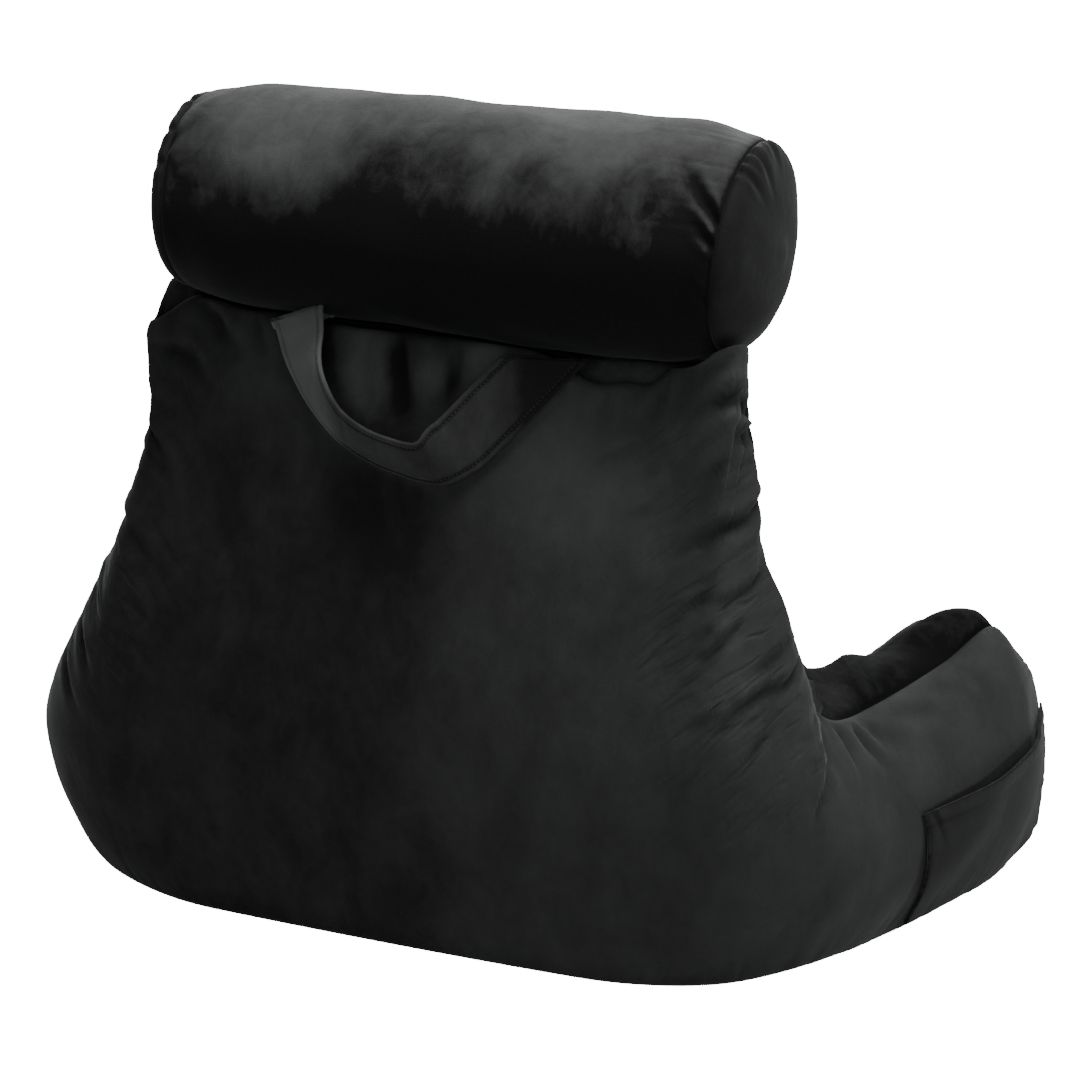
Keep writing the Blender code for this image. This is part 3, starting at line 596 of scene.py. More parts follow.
def crease_depth(cloth, normals, table):
    """How far in (below 0) or out the creases of a table move each point along its normal."""
    grid = cloth.reshape(-1, 3)
    normal = normals.reshape(-1, 3)
    move = np.zeros(len(grid))
    for start, bend, end, depth, width in table:
        line = crease_line(start, bend, end, grid, normal)
        width = width * CREASE_NARROW
        middle = line.mean(axis=0)
        within = np.linalg.norm(line - middle, axis=-1).max() + 6.0 * width
        near = np.nonzero(np.sum((grid - middle) ** 2, axis=-1) < within**2)[0]
        place = grid[near]
        nearest = np.full(len(near), 1.0)
        at = np.zeros(len(near))
        side = np.zeros(len(near))
        for k in range(CREASE_STEPS):
            run = line[k + 1] - line[k]
            off = place - line[k]
            t = np.clip(off @ run / (run @ run), 0.0, 1.0)
            gap = np.linalg.norm(off - t[:, None] * run, axis=-1)
            closer = gap < nearest
            nearest = np.where(closer, gap, nearest)
            at = np.where(closer, (k + t) / CREASE_STEPS, at)
            above = np.sum(np.cross(run, normal[near]) * off, axis=-1)
            side = np.where(closer, np.sign(above), side)
        upper = np.sign(np.cross(line[-1] - line[0], normal[near].mean(axis=0))[2])
        fade = 1.0 - smooth((at - CREASE_WHOLE_TO) / (1.0 - CREASE_WHOLE_TO))
        fade *= smooth(CREASE_START[0] + at / CREASE_START[1])
        spread = width * (1.0 + CREASE_WIDENS * at)
        lit = side * upper > 0.0
        share = np.where(lit, LIT_RIDGE[0], SHADED_RIDGE[0])
        out = np.where(lit, LIT_RIDGE[1], SHADED_RIDGE[1])
        trough = np.exp(-((nearest / spread) ** 2))
        ridge = np.exp(-(((nearest - out * spread) / spread) ** 2))
        move[near] += depth * CREASE_DEEPEN * fade * (share * ridge - trough)
    return move.reshape(cloth.shape[:2])


REAR_CREASES = CREASES + gathers()
print(len(FOLDS), "main folds,", len(REAR_CREASES) + len(SEAT_CREASES), "creases")

# %% [markdown]
# ## Seams
#
# A seam is the one line where stuffed cloth can't rise, so it lies at the bottom of a groove, and the
# thread gathers the cloth a little: short puckers of uneven length run away from it. The groove and the
# puckers depend on only two measures, the distance from the seam and the place along it.

# %% Seams
RELIEF_FULL = 0.004       # sunk or raised this far counts as fully in a crease or on a ridge, for painted shade
SEAM_DEPTH = 0.0034
SEAM_OVER = 0.0036
PUCKER_HEIGHT = 0.0007
PUCKER_PITCH = 0.017
PUCKER_REACH = 0.013
PUCKER_SHORTEST = 0.4 * PUCKER_REACH
PUCKER_REACH_PITCH = 4.3 * PUCKER_PITCH


def seam_pull(off, along, seed, depth=SEAM_DEPTH):
    """The move along the normal beside a seam: a groove, and puckers that fade away from it."""
    groove = depth * np.exp(-off / SEAM_OVER)
    reach = PUCKER_REACH * (1.0 + 0.5 * ripple(along, PUCKER_REACH_PITCH, seed + 50))
    reach = np.maximum(reach, PUCKER_SHORTEST)
    fade = off / reach * np.exp(1.0 - off / reach)
    return PUCKER_HEIGHT * ripple(along, PUCKER_PITCH, seed) * fade - groove


print("a seam's groove is", 1000 * SEAM_DEPTH, "mm deep")

# %% [markdown]
# ## The neck roll's place
#
# The roll lies on the body and presses a saddle into it, so its round has to be known before the body is
# drawn. Its centre, radius and length are read from its plain solid in the frame.

# %% The neck roll's place, read from the frame
ROLL_END_BULGE = 0.026
ROLL_DRAWN_IN = 0.0035
ROLL_DRAWN_OVER = 0.012
ROLL_CLEAR = 0.0014
ROLL_TAPER = 0.0055       # the tube narrows by this much towards its round seams
ROLL_TAPER_OVER = 0.045
ROLL_FLAT = 0.0060        # its underside is pressed in by this much towards the plain side
ROLL_FLAT_OVER = 0.16     # and that comes on over this much of its length

roll_low, roll_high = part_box("neck_roll")
ROLL_CENTRE = np.array((roll_low + roll_high) / 2.0)
ROLL_RADIUS = (roll_high.z - roll_low.z) / 2.0
ROLL_HALF = (roll_high.x - roll_low.x) / 2.0 - ROLL_END_BULGE
print("roll: radius", round(1000 * ROLL_RADIUS, 1), "mm, seam to seam", round(2000 * ROLL_HALF), "mm")


def roll_taper(x):
    """How much the tube narrows towards its round seams."""
    return ROLL_TAPER * smooth((np.abs(x - ROLL_CENTRE[0]) - ROLL_HALF + ROLL_TAPER_OVER) / ROLL_TAPER_OVER)


def roll_flat(x, down):
    """How far the roll is pressed in at x; down is 1 at its lowest line and 0 or less above its axis."""
    towards_plain = smooth((x - ROLL_CENTRE[0]) / ROLL_FLAT_OVER + 0.5)
    return ROLL_FLAT * towards_plain * np.clip(down, 0.0, 1.0) ** 2


def roll_reach(x):
    """The neck roll's radius at x, with its round ends."""
    out = np.abs(x - ROLL_CENTRE[0])
    beyond = np.clip((out - ROLL_HALF) / ROLL_END_BULGE, 0.0, 1.0)
    full = (ROLL_RADIUS - roll_taper(x)) * np.sqrt(1.0 - beyond**2)
    return np.where(out < ROLL_HALF + ROLL_END_BULGE, full, 0.0)


def clear_of_roll(place, clear=ROLL_CLEAR):
    """Moves points that the neck roll's weight presses down out to its round, away from its axis."""
    dy = place[..., 1] - ROLL_CENTRE[1]
    dz = place[..., 2] - ROLL_CENTRE[2]
    away = np.maximum(np.hypot(dy, dz), 1e-6)
    reach = roll_reach(place[..., 0]) - roll_flat(place[..., 0], -dz / away)
    grow = np.maximum((reach + clear) / away, 1.0)
    return np.stack([place[..., 0], ROLL_CENTRE[1] + dy * grow, ROLL_CENTRE[2] + dz * grow], -1)


# %% [markdown]
# ## The body's cloth
#
# Five kinds of sheet make the body: rear, front, top strip, base, and one end on each arm. Each is a grid.
# The panels share the points of their seams with the strip, the base and the arms' ends. An arm's end isn't
# joined to the strip and the base: the strip's full end stands over it, which shows only from in front.
# Rows are packed close beside the seams, where the groove needs them, and are wider apart over the plain
# cloth, which keeps the mesh under its limit.
#
# Use has pulled the top seams out of line in places: a corner stands up beside the roll, and the seam dips
# where the cloth is folded under it. A table holds these pulls. The strip is first drawn between the plain
# seams. Then a pull moves the seam, the panel's upper rows and a share of the strip together, so that a
# raised corner becomes a flap and doesn't drag the whole strip along.

# %% The body's sheets
BODY_COLUMNS = 390
BODY_ROWS = 106
BODY_ACROSS = 12
FINE_FROM = 0.24          # columns stand closer together from this share to the next, where the creases are
FINE_TO = 0.66
FINE_OVER = 0.06
FINE_BY = 0.9             # how much closer
SEAM_ROWS = (0.0, 0.0018, 0.0042, 0.0078, 0.0128, 0.0190)  # near a seam, as shares of a panel's height
SEAM_MOVES = (
    # place, top seam, column, spread, its move in x, y and z, share of the strip that it takes along
    ("corner, plain side", "rear", 0.288, 0.024, 0.022, 0.000, 0.013, 1.0),
    ("cut across the corner, plain side", "rear", 0.284, 0.022, -0.004, 0.000, -0.027, 0.3),
    ("under the roll, plain side", "rear", 0.165, 0.070, 0.000, 0.006, 0.007, 0.3),
    ("middle", "rear", 0.000, 0.120, 0.000, 0.002, 0.003, 0.3),
    ("beyond the strap's second root", "rear", -0.145, 0.034, 0.000, 0.000, -0.018, 0.3),
    ("hollow before the corner", "rear", -0.198, 0.028, 0.000, 0.000, -0.017, 0.3),
    ("corner flap, pocket side", "rear", -0.278, 0.030, -0.014, 0.026, 0.032, 0.5),
    ("first notch, pocket side", "rear", -0.306, 0.007, 0.0040, 0.000, 0.000, 0.3),
    ("second notch, pocket side", "rear", -0.334, 0.006, 0.0035, 0.000, 0.000, 0.3),
    ("side, pocket side", "rear", -0.385, 0.035, -0.0075, 0.000, 0.000, 0.5),
    ("waist, pocket side", "rear", -0.460, 0.030, -0.0100, 0.000, 0.000, 0.5),
    ("armpit, pocket side", "rear", -0.540, 0.016, 0.0080, 0.000, 0.000, 0.5),
    ("waist, pocket side", "front", -0.515, 0.030, 0.0130, 0.000, -0.008, 1.0),
    ("inner side of the armpit, pocket side", "front", -0.640, 0.065, 0.000, 0.000, 0.012, 1.0),
    ("tip of the pocket's arm", "rear", -1.000, 0.060, 0.000, 0.000, -0.010, 0.4),
    ("tip of the plain arm", "rear", 1.000, 0.060, 0.000, 0.000, -0.010, 0.4),
)
MOVED_FROM_ROW = 0.72     # the panel follows its moved seam above this row
TURNED_IN = 0.009         # the arms' top corners turn in, and are dark, over this much cloth
TURNED_IN_DARK = 2.5
TIP_STEP = 12             # an arm points from the middle of the column this far in to its tip
LUMP_SIZE = 0.085
LUMP_HEIGHT = 0.0016
SMALL_LUMP_SIZE = 0.030
SMALL_LUMP_HEIGHT = 0.0005
LUMPS_OFF_SEAM = 0.040    # lumps reach their full height this far from the seams
STRIP_LUMPS_OFF_SEAM = 0.006
CREASE_AT_SEAM = 0.3      # a crease that runs into the top seam keeps this share of its depth there
CREASE_OFF_SEAM = 0.014   # and is at its full depth this far from it
BASE_SEAM_DEPTH = 0.0016
# painted shadow on the arm's cloth inside the pocket, as relief
IN_POCKET_SHADOW = 3.0
PANEL_CLEARS_MORE = 0.0016  # below its seam the rear panel stays this much further off the roll
STRIP_CLEARS_LESS = 0.0012  # and the strip's middle this much less than its edges


def graded(count):
    """Places from 0 to 1, close together near both ends."""
    near = np.array(SEAM_ROWS)
    between = np.linspace(near[-1], 1.0 - near[-1], count - 2 * (len(near) - 1) + 1)
    return np.concatenate([near[:-1], between, 1.0 - near[:-1][::-1]])


def body_columns(count):
    """Places from -1 to 1, closer together where the cloth creases most."""
    even = np.linspace(-1.0, 1.0, 2001)
    share = np.abs(even)
    fine = smooth((share - FINE_FROM) / FINE_OVER) * smooth((FINE_TO - share) / FINE_OVER)
    passed = np.concatenate([[0.0], np.cumsum(1.0 + FINE_BY * (fine[1:] + fine[:-1]) / 2.0)])
    return np.interp(np.linspace(0.0, passed[-1], count + 1), passed, even)


def strip(first, second, w, crown, outside):
    """Cloth sewn between two edges and crowned towards the points in outside. Edges are (n, 3)."""
    across = second - first
    normal = np.cross(across, np.gradient(first + second, axis=0))
    normal /= np.linalg.norm(normal, axis=-1, keepdims=True)
    middle = (first + second) / 2.0
    facing = np.sign(np.sum(normal * (outside - middle), axis=-1, keepdims=True))
    flat = first[:, None, :] + across[:, None, :] * w[None, :, None]
    rise = crown[:, None] * (4.0 * w * (1.0 - w))[None, :] ** STRIP_FILL
    return flat + (normal * facing)[:, None, :] * rise[..., None]


def base_sheet(rear_edge, front_edge, w, share):
    """The base panel: flat on the ground, turned up to its seam all round."""
    across = front_edge - rear_edge
    base = rear_edge[:, None, :] + across[:, None, :] * w[None, :, None]
    from_seam = np.minimum(w, 1.0 - w)[None, :] * np.linalg.norm(across, axis=-1)[:, None]
    from_tip = (1.0 - share)[:, None] * CLOTH_LENGTH
    turned_up = 1.0 - smooth(np.minimum(from_seam, from_tip) / BASE_TURN)
    edge_z = rear_edge[:, None, 2] * (1.0 - w) + front_edge[:, None, 2] * w
    base[..., 2] = edge_z * turned_up
    return base


def seam_moves(u, seam):
    """Each pull on a top seam: its move at every column, and the share of the strip that it takes along."""
    pulls = []
    for _, which, at, spread, *move, over in SEAM_MOVES:
        if which == seam:
            near = np.exp(-(((u - at) / spread) ** 2))
            pulls.append((near[:, None] * np.array(move), over))
    return pulls


def pull_panel(panel, u, v, seam):
    """Moves a panel's upper rows along with its moved top seam."""
    near = smooth((v - MOVED_FROM_ROW) / (1.0 - MOVED_FROM_ROW))[None, :, None]
    return panel + sum(move[:, None] * near for move, _ in seam_moves(u, seam))


def pull_strip(top, u, w):
    """Moves the top strip along with its two moved seams."""
    for seam, off in (("rear", w), ("front", 1.0 - w)):
        for move, over in seam_moves(u, seam):
            top = top + move[:, None] * (1.0 - smooth(off / over))[None, :, None]
    return top


def dressed_panel(grid, middle, share, creases, seed):
    """Gives a panel its lumps, creases and seams, and says how far each point is sunk or raised."""
    normal = normals_of(grid, 2.0 * grid - middle)
    from_base = run_along(np.moveaxis(grid, 1, 0)).T
    from_top = from_base[:, -1:] - from_base
    along_top = run_along(grid[:, -1])[:, None]
    along_base = run_along(grid[:, 0])[:, None]
    from_end = np.broadcast_to((1.0 - share)[:, None] * CLOTH_LENGTH, from_base.shape)
    still = smooth(np.minimum(np.minimum(from_base, from_top), from_end) / LUMPS_OFF_SEAM)
    move = LUMP_HEIGHT * lumps(grid, LUMP_SIZE, seed) * still
    move += SMALL_LUMP_HEIGHT * lumps(grid, SMALL_LUMP_SIZE, seed + 1) * still
    worked = crease_depth(grid, normal, creases)
    worked *= CREASE_AT_SEAM + (1.0 - CREASE_AT_SEAM) * smooth(from_top / CREASE_OFF_SEAM)
    worked += seam_pull(from_top, along_top, seed + 2)
    worked += seam_pull(from_base, along_base, seed + 3, depth=BASE_SEAM_DEPTH)
    worked += seam_pull(from_end, from_base, seed + 4)
    return grid + normal * (move + worked)[..., None], worked / RELIEF_FULL


def dressed_strip(grid, outside, seed):
    """Gives a strip between two seams its lumps and puckers, and its relief: sinking plus painted seam shade.
    """
    normal = normals_of(grid, outside)
    across = run_along(np.moveaxis(grid, 1, 0)).T
    along = run_along(grid[:, 0])[:, None]
    first = seam_pull(across, along, seed, depth=0.0)
    second = seam_pull(across[:, -1:] - across, along, seed + 1, depth=0.0)
    move = first + second + SMALL_LUMP_HEIGHT * lumps(grid, SMALL_LUMP_SIZE, seed + 2)
    to_seam = np.minimum(across, across[:, -1:] - across)
    move *= smooth(to_seam / STRIP_LUMPS_OFF_SEAM)
    # painted shade beside both seams
    relief_shade = (first + second) / RELIEF_FULL - np.exp(-to_seam / SEAM_OVER)
    return grid + normal * move[..., None], relief_shade


def shadow_in_pocket(share, z):
    """How much shadow is painted on the arm's cloth where the patch pocket covers it, and 0 elsewhere."""
    mouth = through([row[3] for row in POCKET], [row[4] for row in POCKET], share)
    inside = smooth((mouth + 0.0015 - z) / 0.0035)
    inside *= smooth((share - POCKET[0][3]) / 0.01) * smooth((POCKET[-1][3] - share) / 0.01)
    return IN_POCKET_SHADOW * inside


def in_tip(share, v):
    """How dark the rear panel is at the top corner of an arm's tip, where the cloth turns in."""
    near = smooth((TURNED_IN - (1.0 - share) * CLOTH_LENGTH) / 0.003)
    return TURNED_IN_DARK * near[:, None] * smooth((v - 0.70) / 0.12)


def arm_ends(rear, front, middle, w, v):
    """The cloth on the tip of each arm, sewn to the two panels only."""
    ends = []
    for tip, inner in ((0, TIP_STEP), (BODY_COLUMNS, BODY_COLUMNS - TIP_STEP)):
        ahead = 2.0 * middle[tip] - middle[inner]
        end = strip(rear[tip], front[tip], w, TIP_CROWN * np.sin(np.pi * v) ** TIP_FILL, ahead)
        ends.append(dressed_strip(end, ahead[:, None, :], seed=61 + tip))
    return ends


def body_sheets():
    """The rear, front, top, base and two end sheets, each as a grid of points and one of relief."""
    u = body_columns(BODY_COLUMNS)
    v = graded(BODY_ROWS)
    w = (1.0 - np.cos(np.pi * np.linspace(0.0, 1.0, BODY_ACROSS + 1))) / 2.0
    share = np.abs(u)
    uu, vv = np.meshgrid(u, v, indexing="ij")
    rear = rear_panel(uu, vv)
    front = front_panel(uu, vv)
    middle = (rear + front) / 2.0
    rear, rear_relief = dressed_panel(folded(rear, middle), middle, share, REAR_CREASES, seed=11)
    front, front_relief = dressed_panel(front, middle, share, SEAT_CREASES, seed=31)
    above = middle[:, -1] + np.stack([np.sign(u), 0.0 * u, 1.0 + 0.0 * u], -1)
    top = strip(rear[:, -1], front[:, -1], w, column(CROWN, 4, share), above)
    top, top_relief = dressed_strip(pull_strip(top, u, w), above[:, None, :], seed=51)
    rear = pull_panel(rear, u, v, "rear")
    front = pull_panel(front, u, v, "front")
    rear[:, 0, 2] = BASE_SEAM_Z
    front[:, 0, 2] = BASE_SEAM_Z
    ends = arm_ends(rear, front, middle, w, v)
    rear = clear_of_roll(rear, ROLL_CLEAR + PANEL_CLEARS_MORE * smooth((1.0 - v) / 0.03))
    front = clear_of_roll(front)
    top = clear_of_roll(top, ROLL_CLEAR - STRIP_CLEARS_LESS * smooth(np.minimum(w, 1.0 - w) / 0.1))
    base = base_sheet(rear[:, 0], front[:, 0], w, share)
    # painted shadow on the arm's cloth inside the pocket
    rear_relief = rear_relief - shadow_in_pocket(-uu, rear[..., 2]) - in_tip(share, v)
    sheets = [(rear, rear_relief), (front, front_relief), (top, top_relief)]
    return sheets + [(base, np.zeros(base.shape[:2]))] + ends


sheets = body_sheets()
print("rear panel:", sheets[0][0].shape[:2], "points; strip:", sheets[2][0].shape[:2])

# %% [markdown]
# ## Sewing sheets into one mesh
#
# The sheets become one object when the points that they share on a seam are merged. The merge distance is
# a hundredth of a millimetre, far below the closest rows. Each sheet keeps its own material number, so the
# strip can have a darker cloth than the panels. Each point also keeps its relief, which is how far it is
# sunk in a crease or raised on a ridge, with shade painted beside seams, in folds and under the pocket's
# mouth: the velour below is painted darker and lighter by it, as shade and highlight.

# %% Sewing sheets into one mesh
MERGE = 1e-5
DEEPEST = -3.0            # relief is held between these two
HIGHEST = 1.0


def sew(name, sheets, materials, numbers):
    """One smooth mesh from (points, relief) grids, merged where they meet; numbers gives their materials."""
    points = []
    relief_shade = []
    faces = []
    owner = []
    for (grid, sunk), number in zip(sheets, numbers):
        rows, cols = grid.shape[:2]
        index = len(points) + np.arange(rows * cols).reshape(rows, cols)
        corners = [index[:-1, :-1], index[1:, :-1], index[1:, 1:], index[:-1, 1:]]
        quads = np.stack(corners, -1).reshape(-1, 4).tolist()
        points.extend(grid.reshape(-1, 3).tolist())
        relief_shade.extend(np.clip(sunk, DEEPEST, HIGHEST).ravel().tolist())
        faces.extend(quads)
        owner.extend([number] * len(quads))
    mesh = bpy.data.meshes.new(name)
    mesh.from_pydata(points, [], faces)
    mesh.polygons.foreach_set("material_index", owner)
    mesh.attributes.new("relief_shade", "FLOAT", "POINT").data.foreach_set("value", relief_shade)
    build = bmesh.new()
    build.from_mesh(mesh)
    bmesh.ops.remove_doubles(build, verts=build.verts, dist=MERGE)
    bmesh.ops.dissolve_degenerate(build, edges=build.edges, dist=MERGE)
    bmesh.ops.recalc_face_normals(build, faces=build.faces)
    build.to_mesh(mesh)
    build.free()
    for material in materials:
        mesh.materials.append(material)
    mesh.shade_smooth()
    open_edges = len(mesh.edges) * 2 - sum(len(p.vertices) for p in mesh.polygons)
    print(name, "-", len(mesh.polygons), "faces,", open_edges, "open edges")
    return put(name, mesh)


# %% [markdown]
# ## Velour
#
# Velour is a short dense pile. Looked at straight down its threads it is nearly black; looked at across
# them it catches the light, so it brightens at grazing angles: that is the shader's sheen. Hands brush the
# pile this way and that, and leave soft patches and streaks that are lighter or darker although the cloth
# is one colour. A node group makes those patches once, and each cloth sets its own two tones and scale.
# The group also paints light and shade into the tone: cloth that faces up is painted lighter, as light
# from above falls on it, and by the relief, cloth sunk in a crease or a seam gets painted shade and raised
# cloth a painted highlight.

# %% The pile, with painted light and shade, as a node group
PATCH_STRETCH = (1.0, 1.0, 0.62)  # patches are taller than they are wide
STREAKS_FINER = 4.2       # streaks are this much smaller than the patches
GRAIN_SCALE = 820.0
GRAIN_SHOWS = 0.22        # how much the single threads of the pile change its tone
MIDDLE_TONE = 0.7         # the mottling's own average
MOTTLE_GAIN = 2.6


def new_group(name, inputs, outputs):
    """An empty shader group with named sockets: inputs are (name, kind, value)."""
    group = bpy.data.node_groups.new(name, "ShaderNodeTree")
    for label, kind, value in inputs:
        socket = group.interface.new_socket(label, in_out="INPUT", socket_type=kind)
        socket.default_value = value
    for label, kind in outputs:
        group.interface.new_socket(label, in_out="OUTPUT", socket_type=kind)
    return group, group.nodes.new("NodeGroupInput"), group.nodes.new("NodeGroupOutput")


def maths(tree, operation, first, second, third=None):
    """A math node; each operand is a socket or a number."""
    node = tree.nodes.new("ShaderNodeMath")
    node.operation = operation
    for socket, value in zip(node.inputs, (first, second, third)):
        if value is None:
            continue
        if isinstance(value, (int, float)):
            socket.default_value = value
        else:
            tree.links.new(value, socket)
    return node.outputs[0]


def noise(tree, place, scale, detail, roughness=0.55, distortion=0.0):
    """A noise texture read at a place, as a value about 0.5."""
    node = tree.nodes.new("ShaderNodeTexNoise")
    node.inputs["Detail"].default_value = detail
    node.inputs["Roughness"].default_value = roughness
    node.inputs["Distortion"].default_value = distortion
    tree.links.new(place, node.inputs["Vector"])
    if isinstance(scale, (int, float)):
        node.inputs["Scale"].default_value = scale
    else:
        tree.links.new(scale, node.inputs["Scale"])
    return node.outputs["Fac"]


def object_place(tree):
    """Where a point lies on its object, so that a pattern stays on the cloth."""
    return tree.nodes.new("ShaderNodeTexCoord").outputs["Object"]


def mapped(tree, place, kind="POINT", **settings):
    """A place that is moved, turned or scaled."""
    node = tree.nodes.new("ShaderNodeMapping")
    node.vector_type = kind
    for label, value in settings.items():
        node.inputs[label].default_value = value
    tree.links.new(place, node.inputs["Vector"])
    return node.outputs["Vector"]


def ramp(tree, value, start, end):
    """0 where a value is at start, 1 where it is at end, and smooth between."""
    node = tree.nodes.new("ShaderNodeMapRange")
    node.interpolation_type = "SMOOTHSTEP"
    node.inputs["From Min"].default_value = start
    node.inputs["From Max"].default_value = end
    tree.links.new(value, node.inputs["Value"])
    return node.outputs["Result"]


def colour_mix(tree, share):
    """A node that mixes its colours A and B by a share."""
    node = tree.nodes.new("ShaderNodeMix")
    node.data_type = "RGBA"
    tree.links.new(share, node.inputs["Factor"])
    return node


def pile_and_painted_shade():
    """Patches and streaks of the pile and its fine grain, with painted top light and painted shade by relief.
    """
    group, inward, outward = new_group(
        "pile_and_painted_shade",
        [
            ("Patch Scale", "NodeSocketFloat", 14.0),
            ("Contrast", "NodeSocketFloat", 1.0),
            ("Dark", "NodeSocketColor", (0.006, 0.006, 0.006, 1.0)),
            ("Light", "NodeSocketColor", (0.03, 0.03, 0.03, 1.0)),
            ("Lean", "NodeSocketFloat", 0.5),
            # Rise paints light on cloth that faces up, and Crease paints shade and highlight by the relief
            ("Rise", "NodeSocketFloat", 0.0),
            ("Crease", "NodeSocketFloat", 0.40),
        ],
        [("Color", "NodeSocketColor"), ("Height", "NodeSocketFloat")],
    )
    place = object_place(group)
    stretched = mapped(group, place, Scale=PATCH_STRETCH)
    patches = noise(group, stretched, inward.outputs["Patch Scale"], 3.0, 0.6, 0.4)
    finer = maths(group, "MULTIPLY", inward.outputs["Patch Scale"], STREAKS_FINER)
    streaks = noise(group, stretched, finer, 5.0, 0.68, 0.8)
    grain = noise(group, place, GRAIN_SCALE, 2.0, 0.7)
    mottled = maths(group, "MULTIPLY_ADD", streaks, 0.5, maths(group, "MULTIPLY", patches, 0.9))
    centred = maths(group, "SUBTRACT", mottled, MIDDLE_TONE)
    contrast = maths(group, "MULTIPLY", inward.outputs["Contrast"], MOTTLE_GAIN)
    spread = maths(group, "MULTIPLY", centred, contrast)
    tone = maths(group, "ADD", spread, inward.outputs["Lean"])
    # painted light: the tone rises where the cloth faces up
    facing = group.nodes.new("ShaderNodeSeparateXYZ")
    group.links.new(group.nodes.new("ShaderNodeNewGeometry").outputs["Normal"], facing.inputs[0])
    tone = maths(group, "MULTIPLY_ADD", facing.outputs["Z"], inward.outputs["Rise"], tone)
    # painted shade and highlight: the tone follows the relief
    relief_shade = group.nodes.new("ShaderNodeAttribute")
    relief_shade.attribute_name = "relief_shade"
    tone = maths(group, "MULTIPLY_ADD", relief_shade.outputs["Fac"], inward.outputs["Crease"], tone)
    speckles = maths(group, "SUBTRACT", grain, 0.5)
    speckled = maths(group, "MULTIPLY_ADD", speckles, GRAIN_SHOWS, tone)
    speckled = maths(group, "MAXIMUM", speckled, 0.0)
    mix = colour_mix(group, speckled)
    mix.clamp_factor = False
    group.links.new(inward.outputs["Dark"], mix.inputs["A"])
    group.links.new(inward.outputs["Light"], mix.inputs["B"])
    group.links.new(mix.outputs["Result"], outward.inputs["Color"])
    height = maths(group, "MULTIPLY_ADD", grain, 0.35, maths(group, "MULTIPLY", streaks, 0.65))
    group.links.new(height, outward.inputs["Height"])
    return group


PILE = pile_and_painted_shade()
print("node group:", PILE.name)

# %% [markdown]
# ## The cloths
#
# All pieces are the same velour. Each has its own light tone and lean, set to how bright it looks under
# the lamps, so the pieces are partly lit and shaded copies of one cloth. The rear panel's half that bends
# towards the light is painted grey and the other half nearly black, with a soft edge between them: painted
# light. Spots round a place shift the tone; on the body they paint light where the roll shades the upper
# back and the strap's loop, and paint shade in the folds inside the loop and under it. Where a seam pulls
# the cloth into creases too fine for the mesh, a mask round a place adds thin slanting lines, painted
# darker as shade.

# %% The cloths
DEEP = (0.0018, 0.0019, 0.0019)
SOOT = (0.0190, 0.0202, 0.0198)
# ASH and PALE are lighter tones that the strap's and the roll's painted light is mixed towards
ASH = (0.0340, 0.0355, 0.0350)
PALE = (0.0410, 0.0425, 0.0420)
MASK_ROUGHNESS = 0.65
EDGE_NOISE = (13.0, 6.0)  # scale and detail of the unevenness of a mask's edge
SPOT_NOISE = (30.0, 5.0)
SPOT_CORE = 0.25          # a spot is at its full strength within this share of its radius
SPOT_WANDER = 0.9         # its edge wanders by about this share of its radius
SPOTS_TALL = 1.8        # spots are this much taller than they are wide
PULLED_SIZE = (0.048, 0.030, 0.0078)  # how long, deep and wide the fine creases are
PULLED_FROM = 0.44        # the noise's values where a fine crease begins and is complete
PULLED_TO = 0.74
PULLED_DEPTH = 0.0013
# the fine crease lines are painted this much darker, as shade
PULLED_SHADE = -0.16
GRAIN_STRENGTH = 0.6
PILE_ROUGHNESS = 0.82
SHEEN_ROUGHNESS = 0.38
SHEEN_TINT = (0.62, 0.66, 0.65, 1.0)


def ragged(tree, value, place, scale, detail, strength):
    """A value made uneven by noise at a place."""
    centred = maths(tree, "SUBTRACT", noise(tree, place, scale, detail, MASK_ROUGHNESS), 0.5)
    return maths(tree, "MULTIPLY_ADD", centred, strength, value)


def edge_mask(tree, axis, start, end, wander):
    """A mask from 0 at start to 1 at end along an axis, with an uneven edge."""
    place = object_place(tree)
    split = tree.nodes.new("ShaderNodeSeparateXYZ")
    tree.links.new(place, split.inputs[0])
    return ramp(tree, ragged(tree, split.outputs[axis], place, *EDGE_NOISE, wander), start, end)


def spot_mask(tree, centre, radius, tall=1.0):
    """A mask that is 1 at a place and fades unevenly to 0 round it. It can be taller than it is wide."""
    place = object_place(tree)
    distance = tree.nodes.new("ShaderNodeVectorMath")
    distance.operation = "LENGTH"
    off = mapped(tree, place, "TEXTURE", Location=centre, Scale=(1.0, 1.0, tall))
    tree.links.new(off, distance.inputs[0])
    uneven = ragged(tree, distance.outputs["Value"], place, *SPOT_NOISE, SPOT_WANDER * radius)
    return ramp(tree, uneven, radius, SPOT_CORE * radius)


def pulled(tree, places):
    """Fine creases where a seam pulls the cloth: thin lines along one slant, fading out round each place."""
    total = 0.0
    for _, centre, radius, slant, strength in places:
        turn = (0.0, math.radians(slant), 0.0)
        turned = mapped(tree, object_place(tree), "TEXTURE", Rotation=turn, Scale=PULLED_SIZE)
        lines = ramp(tree, noise(tree, turned, 1.0, 1.5, 0.45, 0.5), PULLED_FROM, PULLED_TO)
        lines = maths(tree, "MULTIPLY", lines, spot_mask(tree, centre, radius))
        total = maths(tree, "MULTIPLY_ADD", lines, strength, total)
    return total


